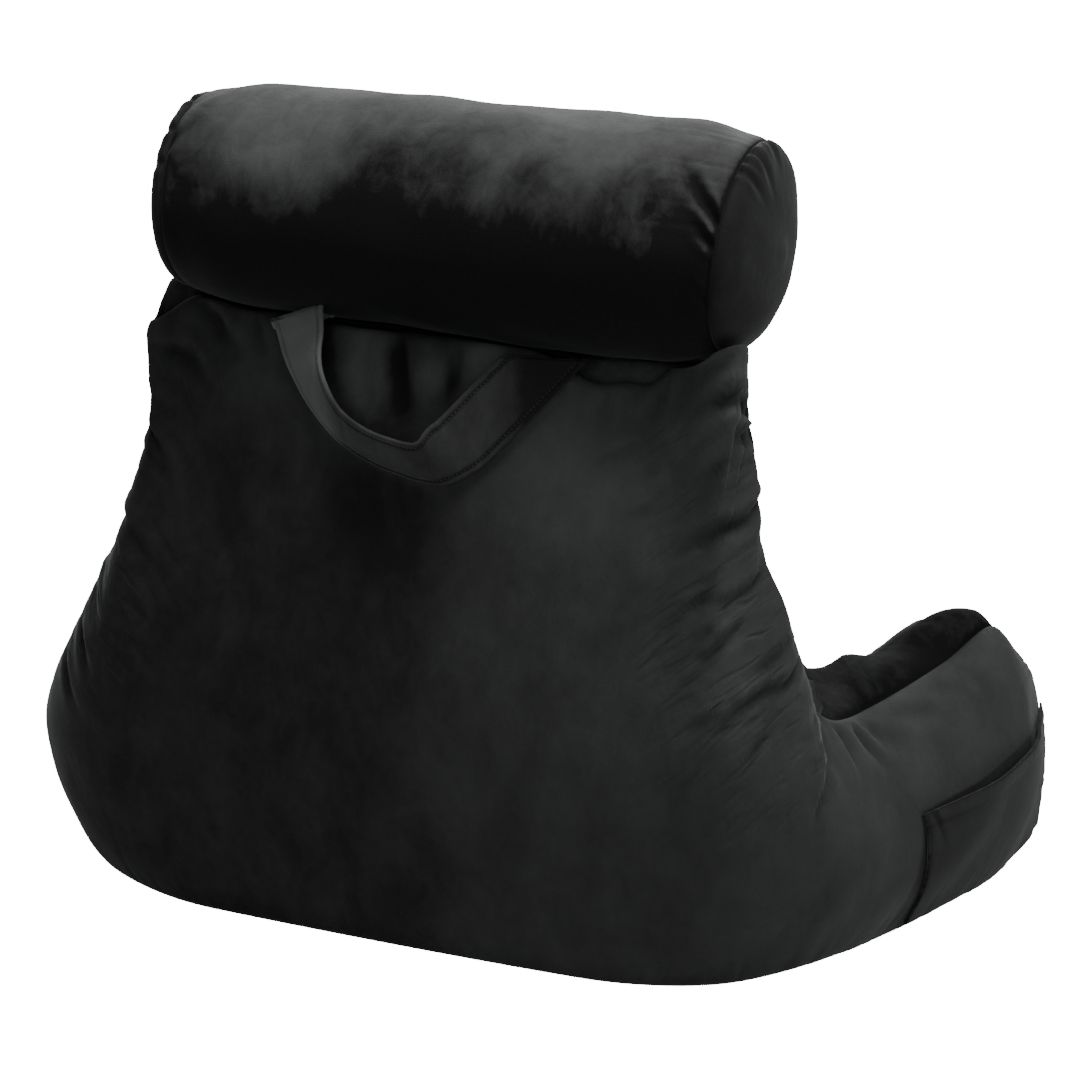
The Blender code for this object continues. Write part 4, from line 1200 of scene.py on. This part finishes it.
def velour(
    name, light, lean, patch, contrast=0.4, sheen=0.1, gloss=0.18, bump=0.0012, rise=0.0,
    changes=(), spots=(), creased=(),
):
    """A velour cloth. changes has rows for edge_mask, spots for spot_mask and creased for pulled."""
    material, tree, shader = new_material(name)
    pile = tree.nodes.new("ShaderNodeGroup")
    pile.node_tree = PILE
    settings = {"Patch Scale": patch, "Contrast": contrast, "Rise": rise, "Lean": lean}
    settings.update({"Dark": (*DEEP, 1.0), "Light": (*light, 1.0)})
    for label, value in settings.items():
        pile.inputs[label].default_value = value
    leaning = lean
    # the changes and the spots paint light and shade into the lean
    for axis, start, end, wander, more in changes:
        leaning = maths(tree, "MULTIPLY_ADD", edge_mask(tree, axis, start, end, wander), more, leaning)
    for _, centre, radius, more in spots:
        leaning = maths(tree, "MULTIPLY_ADD", spot_mask(tree, centre, radius, SPOTS_TALL), more, leaning)
    grain = tree.nodes.new("ShaderNodeBump")
    grain.inputs["Strength"].default_value = GRAIN_STRENGTH
    grain.inputs["Distance"].default_value = bump
    tree.links.new(pile.outputs["Height"], grain.inputs["Height"])
    normal = grain.outputs["Normal"]
    if creased:
        lines = pulled(tree, creased)
        # painted shade along the fine crease lines
        leaning = maths(tree, "MULTIPLY_ADD", lines, PULLED_SHADE, leaning)
        sunk = tree.nodes.new("ShaderNodeBump")
        sunk.invert = True
        sunk.inputs["Distance"].default_value = PULLED_DEPTH
        tree.links.new(lines, sunk.inputs["Height"])
        tree.links.new(normal, sunk.inputs["Normal"])
        normal = sunk.outputs["Normal"]
    if changes or spots or creased:
        tree.links.new(leaning, pile.inputs["Lean"])
    tree.links.new(pile.outputs["Color"], shader.inputs["Base Color"])
    tree.links.new(normal, shader.inputs["Normal"])
    shader.inputs["Roughness"].default_value = PILE_ROUGHNESS
    shader.inputs["Specular IOR Level"].default_value = gloss
    shader.inputs["Sheen Weight"].default_value = sheen
    shader.inputs["Sheen Roughness"].default_value = SHEEN_ROUGHNESS
    shader.inputs["Sheen Tint"].default_value = SHEEN_TINT
    return material


# painted light: lighter on the back's half towards the light, by the pocket's arm and under the roll
BODY_PAINTED_LIGHT = (  # axis, start, end, wander, how much lighter
    ("X", 0.015, -0.065, 0.10, 0.50),
    ("X", -0.20, -0.30, 0.05, 0.14),
    ("Z", 0.340, 0.440, 0.10, 0.34),
)
# painted light where the roll shades the upper back and the loop, painted shade in folds and under the loop
BODY_LIGHT_AND_SHADE_SPOTS = (  # place, centre, radius, how much lighter
    ("inside the loop, by its first leg", (0.034, 0.088, 0.432), 0.030, 2.00),
    ("top of the fold inside the loop", (0.012, 0.090, 0.436), 0.014, -0.70),
    ("foot of the fold inside the loop", (0.003, 0.092, 0.414), 0.016, -0.90),
    ("inside the loop, middle", (-0.014, 0.090, 0.430), 0.018, 1.30),
    ("second fold inside the loop", (-0.032, 0.092, 0.424), 0.012, -0.70),
    ("inside the loop, by its second leg", (-0.052, 0.088, 0.444), 0.020, 1.30),
    ("upper back, pocket side", (-0.130, 0.100, 0.400), 0.080, 0.56),
    ("left of the strap", (0.120, 0.088, 0.425), 0.034, 0.36),
    ("under the strap", (0.060, 0.105, 0.370), 0.045, 0.22),
    ("dark, under the loop", (0.020, 0.118, 0.330), 0.060, -0.16),
    ("corner, pocket side", (-0.215, 0.075, 0.440), 0.050, 0.25),
    ("waist, pocket side", (-0.215, 0.112, 0.240), 0.090, 0.16),
    ("arm, pocket side", (-0.352, -0.080, 0.140), 0.080, 0.04),
    ("arm's corner", (-0.355, -0.170, 0.180), 0.045, 0.20),
)
BODY_CREASED = (  # place, centre, radius, slant in degrees, strength
    ("shoulder, pocket side", (-0.205, 0.085, 0.380), 0.070, 40.0, 0.8),
    ("waist, pocket side", (-0.225, 0.110, 0.280), 0.085, 43.0, 1.0),
    ("armpit, pocket side", (-0.255, 0.095, 0.190), 0.085, 47.0, 1.0),
    ("waist, plain side", (0.240, 0.100, 0.240), 0.095, -43.0, 0.7),
    ("shoulder, plain side", (0.165, 0.080, 0.410), 0.050, -75.0, 0.35),
)
STRAP_LIGHT_AND_SHADE = (  # as in the body's rows above: painted light on the first leg, painted shade at the second root
    ("X", 0.036, 0.062, 0.0, 1.60),
    ("X", -0.072, -0.104, 0.0, -0.75),
)
STRIP_LIGHTER_SPOTS = (  # as in the body's spots: the first is painted light where the roll shades the strip
    ("folded beyond the strap", (-0.150, 0.080, 0.452), 0.055, 2.20),
    ("corner, plain side", (0.195, 0.050, 0.465), 0.035, 0.60),
)
ROLL_SPOTS = (  # as in the body's spots: lighter and darker patches on the roll
    ("light, left of the middle", (0.075, 0.100, 0.580), 0.070, 0.22),
    ("dark, near the middle", (0.020, 0.110, 0.565), 0.050, -0.25),
    ("dark, by the right seam", (-0.195, 0.105, 0.560), 0.030, -0.35),
    ("dark, by the left seam", (0.160, 0.095, 0.570), 0.040, -0.25),
)
BODY_CLOTH = velour(
    "body_velour", SOOT, lean=0.17, patch=24.0, contrast=0.42,
    changes=BODY_PAINTED_LIGHT, spots=BODY_LIGHT_AND_SHADE_SPOTS, creased=BODY_CREASED,
)
STRIP_CLOTH = velour(
    "strip_velour", SOOT, lean=0.08, patch=22.0, contrast=0.7, sheen=0.02, gloss=0.05, spots=STRIP_LIGHTER_SPOTS
)
# painted light: rise makes the roll lighter where it faces up, towards PALE, and dark where it faces down
ROLL_CLOTH = velour(
    "roll_velour", PALE, lean=-0.28, patch=17.0, contrast=0.6, sheen=0.06, gloss=0.10, rise=1.15,
    spots=ROLL_SPOTS,
)
DISC_CLOTH = velour("disc_velour", SOOT, lean=0.07, patch=18.0, contrast=0.35, sheen=0.07)
HANDLE_CLOTH = velour(
    "handle_velour", ASH, lean=0.38, patch=40.0, contrast=0.35, sheen=0.12, bump=0.0008, changes=STRAP_LIGHT_AND_SHADE
)
POCKET_CLOTH = velour("pocket_velour", SOOT, lean=0.42, patch=22.0, contrast=0.3, sheen=0.08)
print("cloths:", [m.name for m in bpy.data.materials if m.name.endswith("velour")])

# %% Sew the body
body = sew("stuffed_body", sheets, [BODY_CLOTH, STRIP_CLOTH], (0, 0, 1, 1, 1, 1))
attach(body, "root")
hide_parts("body_cushion")

# %% [markdown]
# ## The neck roll
#
# The roll is a tube with a round disc sewn in each end. The discs bulge, and the thread gathers both cloths
# at the round seams, so puckers radiate on the disc and run, a little slanted, along the tube. It is one grid
# that goes from the centre of one disc, over its seam, along the tube and over the other seam to the other
# centre. Last, both ends are shifted and lifted a little, because a stuffed roll is never quite straight,
# and its underside is pressed flat towards the plain side.

# %% The neck roll
ROLL_AROUND = 300
ROLL_ALONG = 120
DISC_RINGS = 26
ROLL_LUMPS = (  # size, height, how far off the seam it is full, seed
    (0.090, 0.00096, 0.04, 81),
    (0.028, 0.00050, 0.02, 82),
)
ROLL_RIPPLES = ((0.015, 72), (0.014, 71))  # fine gathers at the pocket's end and the other: pitch, seed
ROLL_RIPPLE = 0.0001
ROLL_RIPPLE_STRONG = 0.0004  # on the tube at the pocket's end
ROLL_RIPPLE_REACH = (0.014, 0.016)  # on the tube, on the disc
ROLL_JOIN = 0.02          # the gathers fade this close to the line where the grid's two sides meet
ROLL_SEAM_DEPTH = 0.0020
ROLL_SEAM_OVER = 0.0022
# painted shade in the grooves of the round seams
ROLL_SEAM_DARK = 0.006
ROLL_SEAM_DARK_OVER = 0.0012
ROLL_DARKEN = 1.6         # sunk cloth gets this much painted shade, and raised cloth the next as painted highlight
ROLL_LIGHTEN = 0.6
ROLL_ENDS = (  # end, its move in x, lean per metre of height, lift, and how far in they reach
    (-1, 0.002, -0.10, 0.002, 0.090),
    (1, 0.006, 0.00, 0.003, 0.090),
)
ROLL_PUCKERS = (
    # end, angle in degrees (0 is +Y, 90 is up), its turn per metre, cloth, depth, width in degrees, length
    (-1, 58.0, 0.0, "disc", 0.0022, 2.2, 0.040),
    (-1, 66.0, 0.0, "disc", 0.0016, 1.8, 0.022),
    (-1, 76.0, 0.0, "disc", 0.0022, 2.6, 0.048),
    (-1, 96.0, 0.0, "disc", 0.0014, 3.0, 0.036),
    (-1, 26.0, 800.0, "tube", 0.0036, 3.6, 0.040),
    (-1, 14.0, 700.0, "tube", 0.0022, 2.8, 0.026),
    (-1, -14.0, 300.0, "tube", 0.0016, 2.6, 0.014),
    (1, 40.0, 1300.0, "tube", 0.0012, 5.0, 0.034),
    (1, 66.0, 1200.0, "tube", 0.0008, 4.0, 0.026),
    (1, 80.0, 0.0, "disc", 0.0022, 2.6, 0.034),
    (1, 52.0, 0.0, "disc", 0.0018, 2.4, 0.030),
    (1, 30.0, 0.0, "disc", 0.0020, 2.6, 0.026),
)


def roll_line():
    """The roll's outline from centre to centre: x off the middle, radius, distance from the near seam."""
    seam_radius = ROLL_RADIUS - ROLL_DRAWN_IN - ROLL_TAPER
    turn = np.linspace(0.0, 1.0, DISC_RINGS + 1)[1:] ** 1.4 * np.pi / 2.0
    disc_x = ROLL_HALF + ROLL_END_BULGE * np.sin(turn)
    disc_r = np.maximum(seam_radius * np.cos(turn) ** 0.85, 0.0)
    half_way = np.sin(np.linspace(-1.0, 1.0, ROLL_ALONG + 1) * np.pi / 2.0)
    tube_x = ROLL_HALF * half_way
    tube_off = ROLL_HALF - np.abs(tube_x)
    tube_r = ROLL_RADIUS - ROLL_DRAWN_IN * np.exp(-tube_off / ROLL_DRAWN_OVER)
    tube_r -= roll_taper(ROLL_CENTRE[0] + tube_x)
    steps = np.hypot(np.diff(disc_x, prepend=ROLL_HALF), np.diff(disc_r, prepend=seam_radius))
    disc_off = np.cumsum(steps)
    x = np.concatenate([-disc_x[::-1], tube_x, disc_x])
    radius = np.concatenate([disc_r[::-1], tube_r, disc_r])
    off = np.concatenate([disc_off[::-1], tube_off, disc_off])
    on_tube = np.concatenate([np.zeros(len(disc_x)), np.ones(len(tube_x)), np.zeros(len(disc_x))])
    return x, radius, off, on_tube


def roll_seam(turn, off, end, tube):
    """How far in (below 0) or out the round seams and their fine gathers move the cloth."""
    bent = ROLL_RADIUS * (turn + 0.35 * np.sin(turn))
    pocket_end, plain_end = (ripple(bent, pitch, seed) for pitch, seed in ROLL_RIPPLES)
    girth = turn * ROLL_RADIUS
    wave = np.where(end > 0.0, plain_end, pocket_end)
    wave = wave * smooth(np.minimum(girth, girth[:, -1:] - girth) / ROLL_JOIN)
    reach = np.where(tube, *ROLL_RIPPLE_REACH)
    height = np.where(tube & (end < 0.0), ROLL_RIPPLE_STRONG, ROLL_RIPPLE)
    gathers = height * wave * off / reach * np.exp(1.0 - off / reach)
    return gathers - ROLL_SEAM_DEPTH * np.exp(-off / ROLL_SEAM_OVER)


def roll_puckers(turn, off, end, tube):
    """How far in (below 0) or out the single puckers of the table move the cloth."""
    move = np.zeros(off.shape)
    for side, angle, slant, cloth, depth, width, length in ROLL_PUCKERS:
        here = (end == side) & (tube == (cloth == "tube"))
        turned = (np.degrees(turn) - angle - slant * off + 180.0) % 360.0 - 180.0
        spread = width * (1.0 + 0.8 * off / length)
        ridges = np.exp(-(((np.abs(turned) - 1.9 * spread) / spread) ** 2))
        trough = np.exp(-((turned / spread) ** 2)) - 0.4 * ridges
        fall = smooth(1.0 - off / length) * smooth(off / 0.003 + 0.35)
        move -= np.where(here, depth * trough * fall, 0.0)
    return move


def roll_grid():
    """The roll's cloth as one grid, with lumps, seam grooves and puckers, and its relief."""
    x, radius, off, on_tube = roll_line()
    turn = np.linspace(0.0, 2.0 * np.pi, ROLL_AROUND + 1)
    round_y = radius[:, None] * np.cos(turn)
    round_z = radius[:, None] * np.sin(turn)
    grid = ROLL_CENTRE + np.stack([x[:, None] + 0.0 * turn, round_y, round_z], -1)
    normal = normals_of(grid, grid + (grid - ROLL_CENTRE))
    end = np.sign(x)[:, None]
    tube = on_tube[:, None] > 0.5
    off = off[:, None] + 0.0 * turn
    worked = roll_seam(turn[None, :], off, end, tube) + roll_puckers(turn[None, :], off, end, tube)
    move = 0.0
    for size, height, over, seed in ROLL_LUMPS:
        move = move - height * (1.0 + lumps(grid, size, seed)) * smooth(off / over)
    inner = smooth(radius / (0.1 * ROLL_RADIUS))[:, None]
    # painted shade on sunk cloth and at the seams, painted highlight on raised cloth
    relief_shade = np.where(worked > 0.0, ROLL_LIGHTEN, ROLL_DARKEN) * worked * inner
    relief_shade = (relief_shade - ROLL_SEAM_DARK * np.exp(-off / ROLL_SEAM_DARK_OVER)) / RELIEF_FULL
    grid = grid + normal * ((move + worked) * inner)[..., None]
    down = -(grid[..., 2] - ROLL_CENTRE[2]) / ROLL_RADIUS
    grid[..., 2] += roll_flat(grid[..., 0], down)
    on_seam = (radius / (ROLL_RADIUS - ROLL_DRAWN_IN - ROLL_TAPER))[:, None] ** 3
    for end, shift, lean, lift, reach in ROLL_ENDS:
        near = smooth((end * (grid[..., 0] - ROLL_CENTRE[0]) - ROLL_HALF + reach) / reach)
        near = near * np.where(tube, 1.0, on_seam)
        grid[..., 0] += near * (shift + lean * (grid[..., 2] - ROLL_CENTRE[2]))
        grid[..., 2] += near * lift * np.clip(0.5 + down, 0.0, 1.0)
    grid[:, -1] = grid[:, 0]
    return grid, relief_shade


roll_cloth, roll_relief = roll_grid()
ring = DISC_RINGS + 1
cuts = (slice(0, ring), slice(ring - 1, 1 - ring), slice(-ring, None))
roll_parts = [(roll_cloth[cut], roll_relief[cut]) for cut in cuts]
roll = sew("stuffed_neck_roll", roll_parts, [ROLL_CLOTH, DISC_CLOTH], (1, 0, 1))
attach(roll, "root")
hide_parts("neck_roll")

# %% [markdown]
# ## The strap
#
# The carry strap is a tube of the same velour, pressed flat and stitched close to both edges. It hangs from
# the top seam, and turns on edge at the bottom of its loop. It is modelled as a cross-section carried along
# a path: the path gives each place, how far it is twisted, and how far up its face looks. The section has
# two shallow grooves where the stitching holds the layers together. Both ends are cut level and sit in the
# top seam, under the roll.

# %% The strap's path
STRAP_WIDTH = 0.044
STRAP_THICK = 0.0032
STRAP_ROOT_Z = 0.455
STRAP_STEPS = 260
HANDLE = (  # place, x, z, twist in degrees, how far up its face looks in degrees, gap to the panel
    ("root in the top seam", 0.081, 0.458, 22, 90, 0.0030),
    ("arch beside the roll", 0.081, 0.466, 23, 60, 0.0085),
    ("first leg", 0.077, 0.450, 27, 30, 0.0080),
    ("turning", 0.066, 0.427, 42, 18, 0.0050),
    ("on edge", 0.038, 0.399, 54, 18, 0.0030),
    ("bottom", 0.006, 0.387, 56, 18, 0.0030),
    ("kink", -0.021, 0.383, 54, 18, 0.0030),
    ("second leg", -0.040, 0.392, 30, 18, 0.0030),
    ("upper leg", -0.068, 0.421, 20, 18, 0.0030),
    ("second root", -0.114, 0.474, 18, 18, 0.0030),
)


def back_y(x, z):
    """How far out the plain rear panel stands at each (x, z) on the back."""
    uu, vv = np.meshgrid(np.linspace(-0.3, 0.3, 241), np.linspace(0.6, 1.0, 161), indexing="ij")
    grid = clear_of_roll(rear_panel(uu, vv)).reshape(-1, 3)
    found = []
    for a, b in zip(x, z):
        nearest = np.argmin((grid[:, 0] - a) ** 2 + (grid[:, 2] - b) ** 2)
        found.append(grid[nearest, 1])
    return np.array(found)


def strap_path(steps):
    """The strap's middle line, with the ways across it and out of its face."""
    x, z, twist, lean, gap = np.array([row[1:] for row in HANDLE]).T
    y = back_y(x, z) + STRAP_WIDTH / 2.0 * np.sin(np.radians(twist)) + gap
    knots = np.linspace(0.0, 1.0, len(HANDLE))
    t = np.linspace(0.0, 1.0, steps)
    middle = np.stack([through(knots, axis, t) for axis in (x, y, z)], -1)
    turn = np.radians(through(knots, twist, t))[:, None]
    tip_up = np.radians(through(knots, lean, t))
    run = np.gradient(middle, axis=0)
    run /= np.linalg.norm(run, axis=-1, keepdims=True)
    out = np.stack([np.zeros(len(t)), np.cos(tip_up), np.sin(tip_up)], -1)
    out -= run * np.sum(run * out, axis=-1, keepdims=True)
    out /= np.linalg.norm(out, axis=-1, keepdims=True)
    aside = np.cross(out, run)
    return middle, aside * np.cos(turn) + out * np.sin(turn), out * np.cos(turn) - aside * np.sin(turn)


strap_middle, strap_across, strap_face = strap_path(10 * STRAP_STEPS + 1)
print("strap path:", round(float(run_along(strap_middle)[-1]), 3), "m")

# %% The strap's cloth
STITCH_IN = 0.0045        # the stitch rows lie this far in from the strap's edges
STITCH_GROOVE = 0.0009
GROOVE_WIDTH = 0.0013
# painted shade: the stitch grooves are this much darker, as relief
GROOVE_DARK = 1.4
STRAP_WAVE = 0.0005       # the cloth between the stitch rows is a little uneven
STRAP_WAVE_PITCH = 0.021
SECTION_POINTS = 64


def strand(w):
    """One line along the strap at w metres off its middle, cut level at both roots, with its face's way."""
    line = np.concatenate([strap_middle + strap_across * w, strap_face], -1)
    end = np.nonzero(line[:, 2] <= STRAP_ROOT_Z)[0][-1]
    at = np.linspace(0.0, end, STRAP_STEPS + 1)
    return np.stack([np.interp(at, np.arange(len(line)), axis) for axis in line.T], -1)


def half_thickness(w):
    """Half the strap's thickness at w off its middle: round edges, and a groove under each stitch row."""
    to_edge = STRAP_WIDTH / 2.0 - np.abs(w)
    short = 1.0 - np.clip(to_edge / (STRAP_THICK / 2.0), 0.0, 1.0)
    rounding = np.sqrt(1.0 - short**2)
    groove = STITCH_GROOVE * np.exp(-(((to_edge - STITCH_IN) / GROOVE_WIDTH) ** 2))
    return STRAP_THICK / 2.0 * rounding - groove


def strap_grid():
    """The strap as a closed ring of strands, and its relief."""
    angle = np.linspace(0.0, 2.0 * np.pi, SECTION_POINTS + 1)
    across = STRAP_WIDTH / 2.0 * np.sign(np.cos(angle)) * np.abs(np.cos(angle)) ** 0.85
    lines = []
    relief_shade = []
    for w, up in zip(across, np.sign(np.sin(angle))):
        line = strand(w)
        along = run_along(line[:, :3])
        wave = STRAP_WAVE * ripple(along, STRAP_WAVE_PITCH, 91) * smooth(1.0 - abs(w) / STRAP_WIDTH * 1.2)
        lift = STRAP_THICK / 2.0 + up * half_thickness(w) + wave
        lines.append(line[:, :3] + line[:, 3:] * lift[:, None])
        from_stitches = STRAP_WIDTH / 2.0 - abs(w) - STITCH_IN
        relief_shade.append(wave / RELIEF_FULL - GROOVE_DARK * np.exp(-((from_stitches / GROOVE_WIDTH) ** 2)))
    lines[-1] = lines[0]
    return np.stack(lines, 1), np.stack(relief_shade, 1)


def cap(ring_points):
    """Closes a ring with a fan of quads, by joining its two halves straight across."""
    half_count = len(ring_points) // 2
    first = ring_points[: half_count + 1]
    second = ring_points[half_count:][::-1]
    return np.stack([first, (first + second) / 2.0, second], 1)


def plain_relief(grids):
    """Each grid with a relief of 0 all over."""
    return [(grid, np.zeros(grid.shape[:2])) for grid in grids]


strap_cloth, strap_relief = strap_grid()
strap_caps = plain_relief((cap(strap_cloth[0]), cap(strap_cloth[-1])))
strap = sew("carry_strap", [(strap_cloth, strap_relief)] + strap_caps, [HANDLE_CLOTH], (0, 0, 0))

# %% [markdown]
# ## Topstitching
#
# Two rows of stitches hold the strap's edges. Each stitch is a short thread that dives into the groove at
# both ends, so it is a small bent tube, thin and a little shinier than the cloth. All of them are joined in
# one object.

# %% Topstitching on the strap
THREAD = 0.00055
THREAD_RISE = 1.1         # a stitch arches by this many thicknesses
THREAD_SUNK = 0.55        # and its ends lie below the groove by this share of the arch
THREAD_NARROW = 0.45      # where it is this share of its full thickness
THREAD_DARK = (0.002, 0.002, 0.002, 1.0)
THREAD_LIGHT = (0.014, 0.014, 0.014, 1.0)
STITCH_PITCH = 0.0031
STITCH_START = 0.62       # the first stitch starts this share of a pitch from the strap's root
STITCH_SHOWS = 0.78       # the share of each pitch where the thread is on top
STITCH_SIDES = 6
STITCH_POINTS = 5


def thread_material():
    """Polyester thread: black, smoother than the pile."""
    material, tree, shader = new_material("black_thread")
    mix = colour_mix(tree, noise(tree, object_place(tree), 2600.0, 1.0))
    mix.inputs["A"].default_value = THREAD_DARK
    mix.inputs["B"].default_value = THREAD_LIGHT
    tree.links.new(mix.outputs["Result"], shader.inputs["Base Color"])
    shader.inputs["Roughness"].default_value = 0.5
    return material


def stitch_spine(place, out):
    """One stitch's middle line, its thickness along it, and the ways out of the cloth and aside."""
    out = out / np.linalg.norm(out, axis=-1, keepdims=True)
    run = np.gradient(place, axis=0)
    run /= np.linalg.norm(run, axis=-1, keepdims=True)
    arch = np.sin(np.linspace(0.0, np.pi, STITCH_POINTS))
    spine = place + out * ((arch - THREAD_SUNK) * THREAD * THREAD_RISE)[:, None]
    thick = THREAD / 2.0 * (THREAD_NARROW + (1.0 - THREAD_NARROW) * arch)
    return spine, thick, out, np.cross(out, run)


def stitch_rows(name, lines, material):
    """Joined stitches along lines of (place, outward) points."""
    points = []
    faces = []
    ring_turn = np.linspace(0.0, 2.0 * np.pi, STITCH_SIDES, endpoint=False)
    for line in lines:
        along = run_along(line[:, :3])
        for n in range(int(along[-1] / STITCH_PITCH) - 1):
            start = (n + STITCH_START) * STITCH_PITCH
            at = np.linspace(start, start + STITCH_SHOWS * STITCH_PITCH, STITCH_POINTS)
            read = np.stack([np.interp(at, along, axis) for axis in line.T], -1)
            spine, thick, out, aside = stitch_spine(read[:, :3], read[:, 3:])
            first = len(points)
            for k in range(STITCH_POINTS):
                for turn in ring_turn:
                    points.append(spine[k] + thick[k] * (aside[k] * np.cos(turn) + out[k] * np.sin(turn)))
            for k in range(STITCH_POINTS - 1):
                for m in range(STITCH_SIDES):
                    a = first + k * STITCH_SIDES + m
                    b = first + k * STITCH_SIDES + (m + 1) % STITCH_SIDES
                    faces.append([a, b, b + STITCH_SIDES, a + STITCH_SIDES])
            last = first + (STITCH_POINTS - 1) * STITCH_SIDES
            faces.append([first + m for m in reversed(range(STITCH_SIDES))])
            faces.append([last + m for m in range(STITCH_SIDES)])
    mesh = bpy.data.meshes.new(name)
    mesh.from_pydata([tuple(map(float, p)) for p in points], [], faces)
    mesh.materials.append(material)
    mesh.shade_smooth()
    print(name, "-", len(points) // (STITCH_POINTS * STITCH_SIDES), "stitches")
    return put(name, mesh)


THREAD_CLOTH = thread_material()
rows = []
for w in (STRAP_WIDTH / 2.0 - STITCH_IN, STITCH_IN - STRAP_WIDTH / 2.0):
    for up in (1.0, -1.0):
        line = strand(w)
        surface = line[:, :3] + line[:, 3:] * (STRAP_THICK / 2.0 + up * half_thickness(w))
        rows.append(np.concatenate([surface, up * line[:, 3:]], -1))
strap_stitches = stitch_rows("strap_stitches", rows, THREAD_CLOTH)
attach(strap, "root")
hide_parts("carry_handle")
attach(strap_stitches, "root")

# %% [markdown]
# ## The patch pocket
#
# The pocket is one piece of cloth, sewn on three sides to the outside of the arm. Its mouth is a folded
# edge that stands off the arm. It is built from the arm's own surface: each point is the arm's point, moved
# out by how far the pocket stands off there. The hem and a small slanting fold near the mouth's rear end
# are pressed into the outer face only. Its relief paints shade into them, into the rear side seam and
# along the mouth's edge.

# %% The patch pocket
POCKET_THICK = 0.0022
POCKET_SEAT = 0.0008
POCKET_STAND = 0.0130
POCKET_COLUMNS = 110
POCKET_ROWS = 56
POCKET_CALM = (0.70, 0.22)  # it lies flat again from this share of its width on, over the next
POCKET_SPAN = 0.180       # the width in metres that turns shares of it into distances
HEM_DEPTH = 0.010         # the mouth's hem, folded to the inside
HEM_RAISED = 0.0010
HEM_STITCHED = 0.0008     # its row of stitches is sunk by this much
HEM_STITCHED_OVER = 0.0012
MOUTH_ROUNDED = 0.0009    # the mouth's edge is rounded off by this much
MOUTH_ROUNDED_OVER = 0.0012
SIDE_SEAM_OVER = 0.0020
FOLD_START = 0.035        # the small fold starts here on its mouth, as a share of its width
FOLD_LEAN = 1.6           # and runs in by this many widths for each metre down
FOLD_SUNK = 0.0014
FOLD_WIDTH = 0.0018
FOLD_LENGTH = 0.036
FOLD_DARK = 1.6           # the painted shade of each mark, as relief
SIDE_SEAM_DARK = 2.5
HEM_STITCHED_DARK = 0.5
MOUTH_DARK = 1.5
MOUTH_DARK_OVER = 0.0010


def read_sheet(grid, u, v):
    """Where the body's rear sheet lies at any column u and row v, between its points."""
    columns = body_columns(BODY_COLUMNS)
    rows = graded(BODY_ROWS)
    i = np.clip(np.searchsorted(columns, u, side="right") - 1, 0, BODY_COLUMNS - 1)
    j = np.clip(np.searchsorted(rows, v, side="right") - 1, 0, len(rows) - 2)
    a = ((u - columns[i]) / (columns[i + 1] - columns[i]))[..., None]
    b = ((v - rows[j]) / (rows[j + 1] - rows[j]))[..., None]
    low = grid[i, j] * (1.0 - a) + grid[i + 1, j] * a
    high = grid[i, j + 1] * (1.0 - a) + grid[i + 1, j + 1] * a
    return low * (1.0 - b) + high * b


def pocket_sheets():
    """The pocket's inner and outer faces and its rims, and the outer face's relief."""
    p = np.linspace(0.0, 1.0, POCKET_COLUMNS + 1)[:, None]
    q = graded(POCKET_ROWS)[None, :]
    share = column(POCKET, 2, p) * (1.0 - q) + column(POCKET, 3, p) * q
    z = POCKET_FOOT_Z * (1.0 - q) + column(POCKET, 4, p) * q
    v = (z - BASE_SEAM_Z) / (column(TOP_SEAM, 4, share) - BASE_SEAM_Z)
    on_arm = read_sheet(sheets[0][0], -share, v)
    plain = rear_panel(-share, v)
    normal = normals_of(plain, plain + np.array((-1.0, 0.0, 0.0)))
    calm = 1.0 - smooth((p - POCKET_CALM[0]) / POCKET_CALM[1])
    off_arm = POCKET_SEAT + POCKET_STAND * np.sin(np.pi * p**0.75) ** 1.2 * q**1.6 * calm
    grid = on_arm + normal * off_arm[..., None]
    from_mouth = (1.0 - q) * (column(POCKET, 4, p) - POCKET_FOOT_Z)
    middle = smooth(np.sin(np.pi * p) / 0.15)
    hem = smooth(1.0 - (from_mouth - HEM_DEPTH) / 0.002)
    stitched = np.exp(-(((from_mouth - HEM_DEPTH) / HEM_STITCHED_OVER) ** 2))
    rounded = np.exp(-from_mouth / MOUTH_ROUNDED_OVER)
    from_fold = (p - FOLD_START - FOLD_LEAN * from_mouth) * POCKET_SPAN
    fold = np.exp(-((from_fold / FOLD_WIDTH) ** 2)) * (1.0 - smooth(from_mouth / FOLD_LENGTH))
    side_seam = np.exp(-p * POCKET_SPAN / SIDE_SEAM_OVER)
    raised = (HEM_RAISED * hem - HEM_STITCHED * stitched) * middle
    raised = raised - MOUTH_ROUNDED * rounded - FOLD_SUNK * fold
    outer = grid + normal * POCKET_THICK + normal * raised[..., None]
    relief_shade = -FOLD_DARK * fold - SIDE_SEAM_DARK * side_seam - HEM_STITCHED_DARK * stitched
    relief_shade -= MOUTH_DARK * np.exp(-from_mouth / MOUTH_DARK_OVER)
    rims = [
        np.stack([grid[:, 0], outer[:, 0]], 1),
        np.stack([grid[:, -1], outer[:, -1]], 1),
        np.stack([grid[0], outer[0]], 1),
        np.stack([grid[-1], outer[-1]], 1),
    ]
    return (grid, outer, *rims), relief_shade


pocket_cloth, pocket_relief = pocket_sheets()
pocket_parts = plain_relief(pocket_cloth)
pocket_parts[1] = (pocket_cloth[1], pocket_relief)
pocket = sew("patch_pocket", pocket_parts, [POCKET_CLOTH], (0,) * len(pocket_parts))
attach(pocket, "root")
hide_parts("side_pocket")

# %% Compare the finished pillow's box with the frame's
low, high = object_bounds()
grown = list(cad_low - low) + list(high - cad_high)
print("grown by, in mm:", [round(1000 * c, 1) for c in grown])
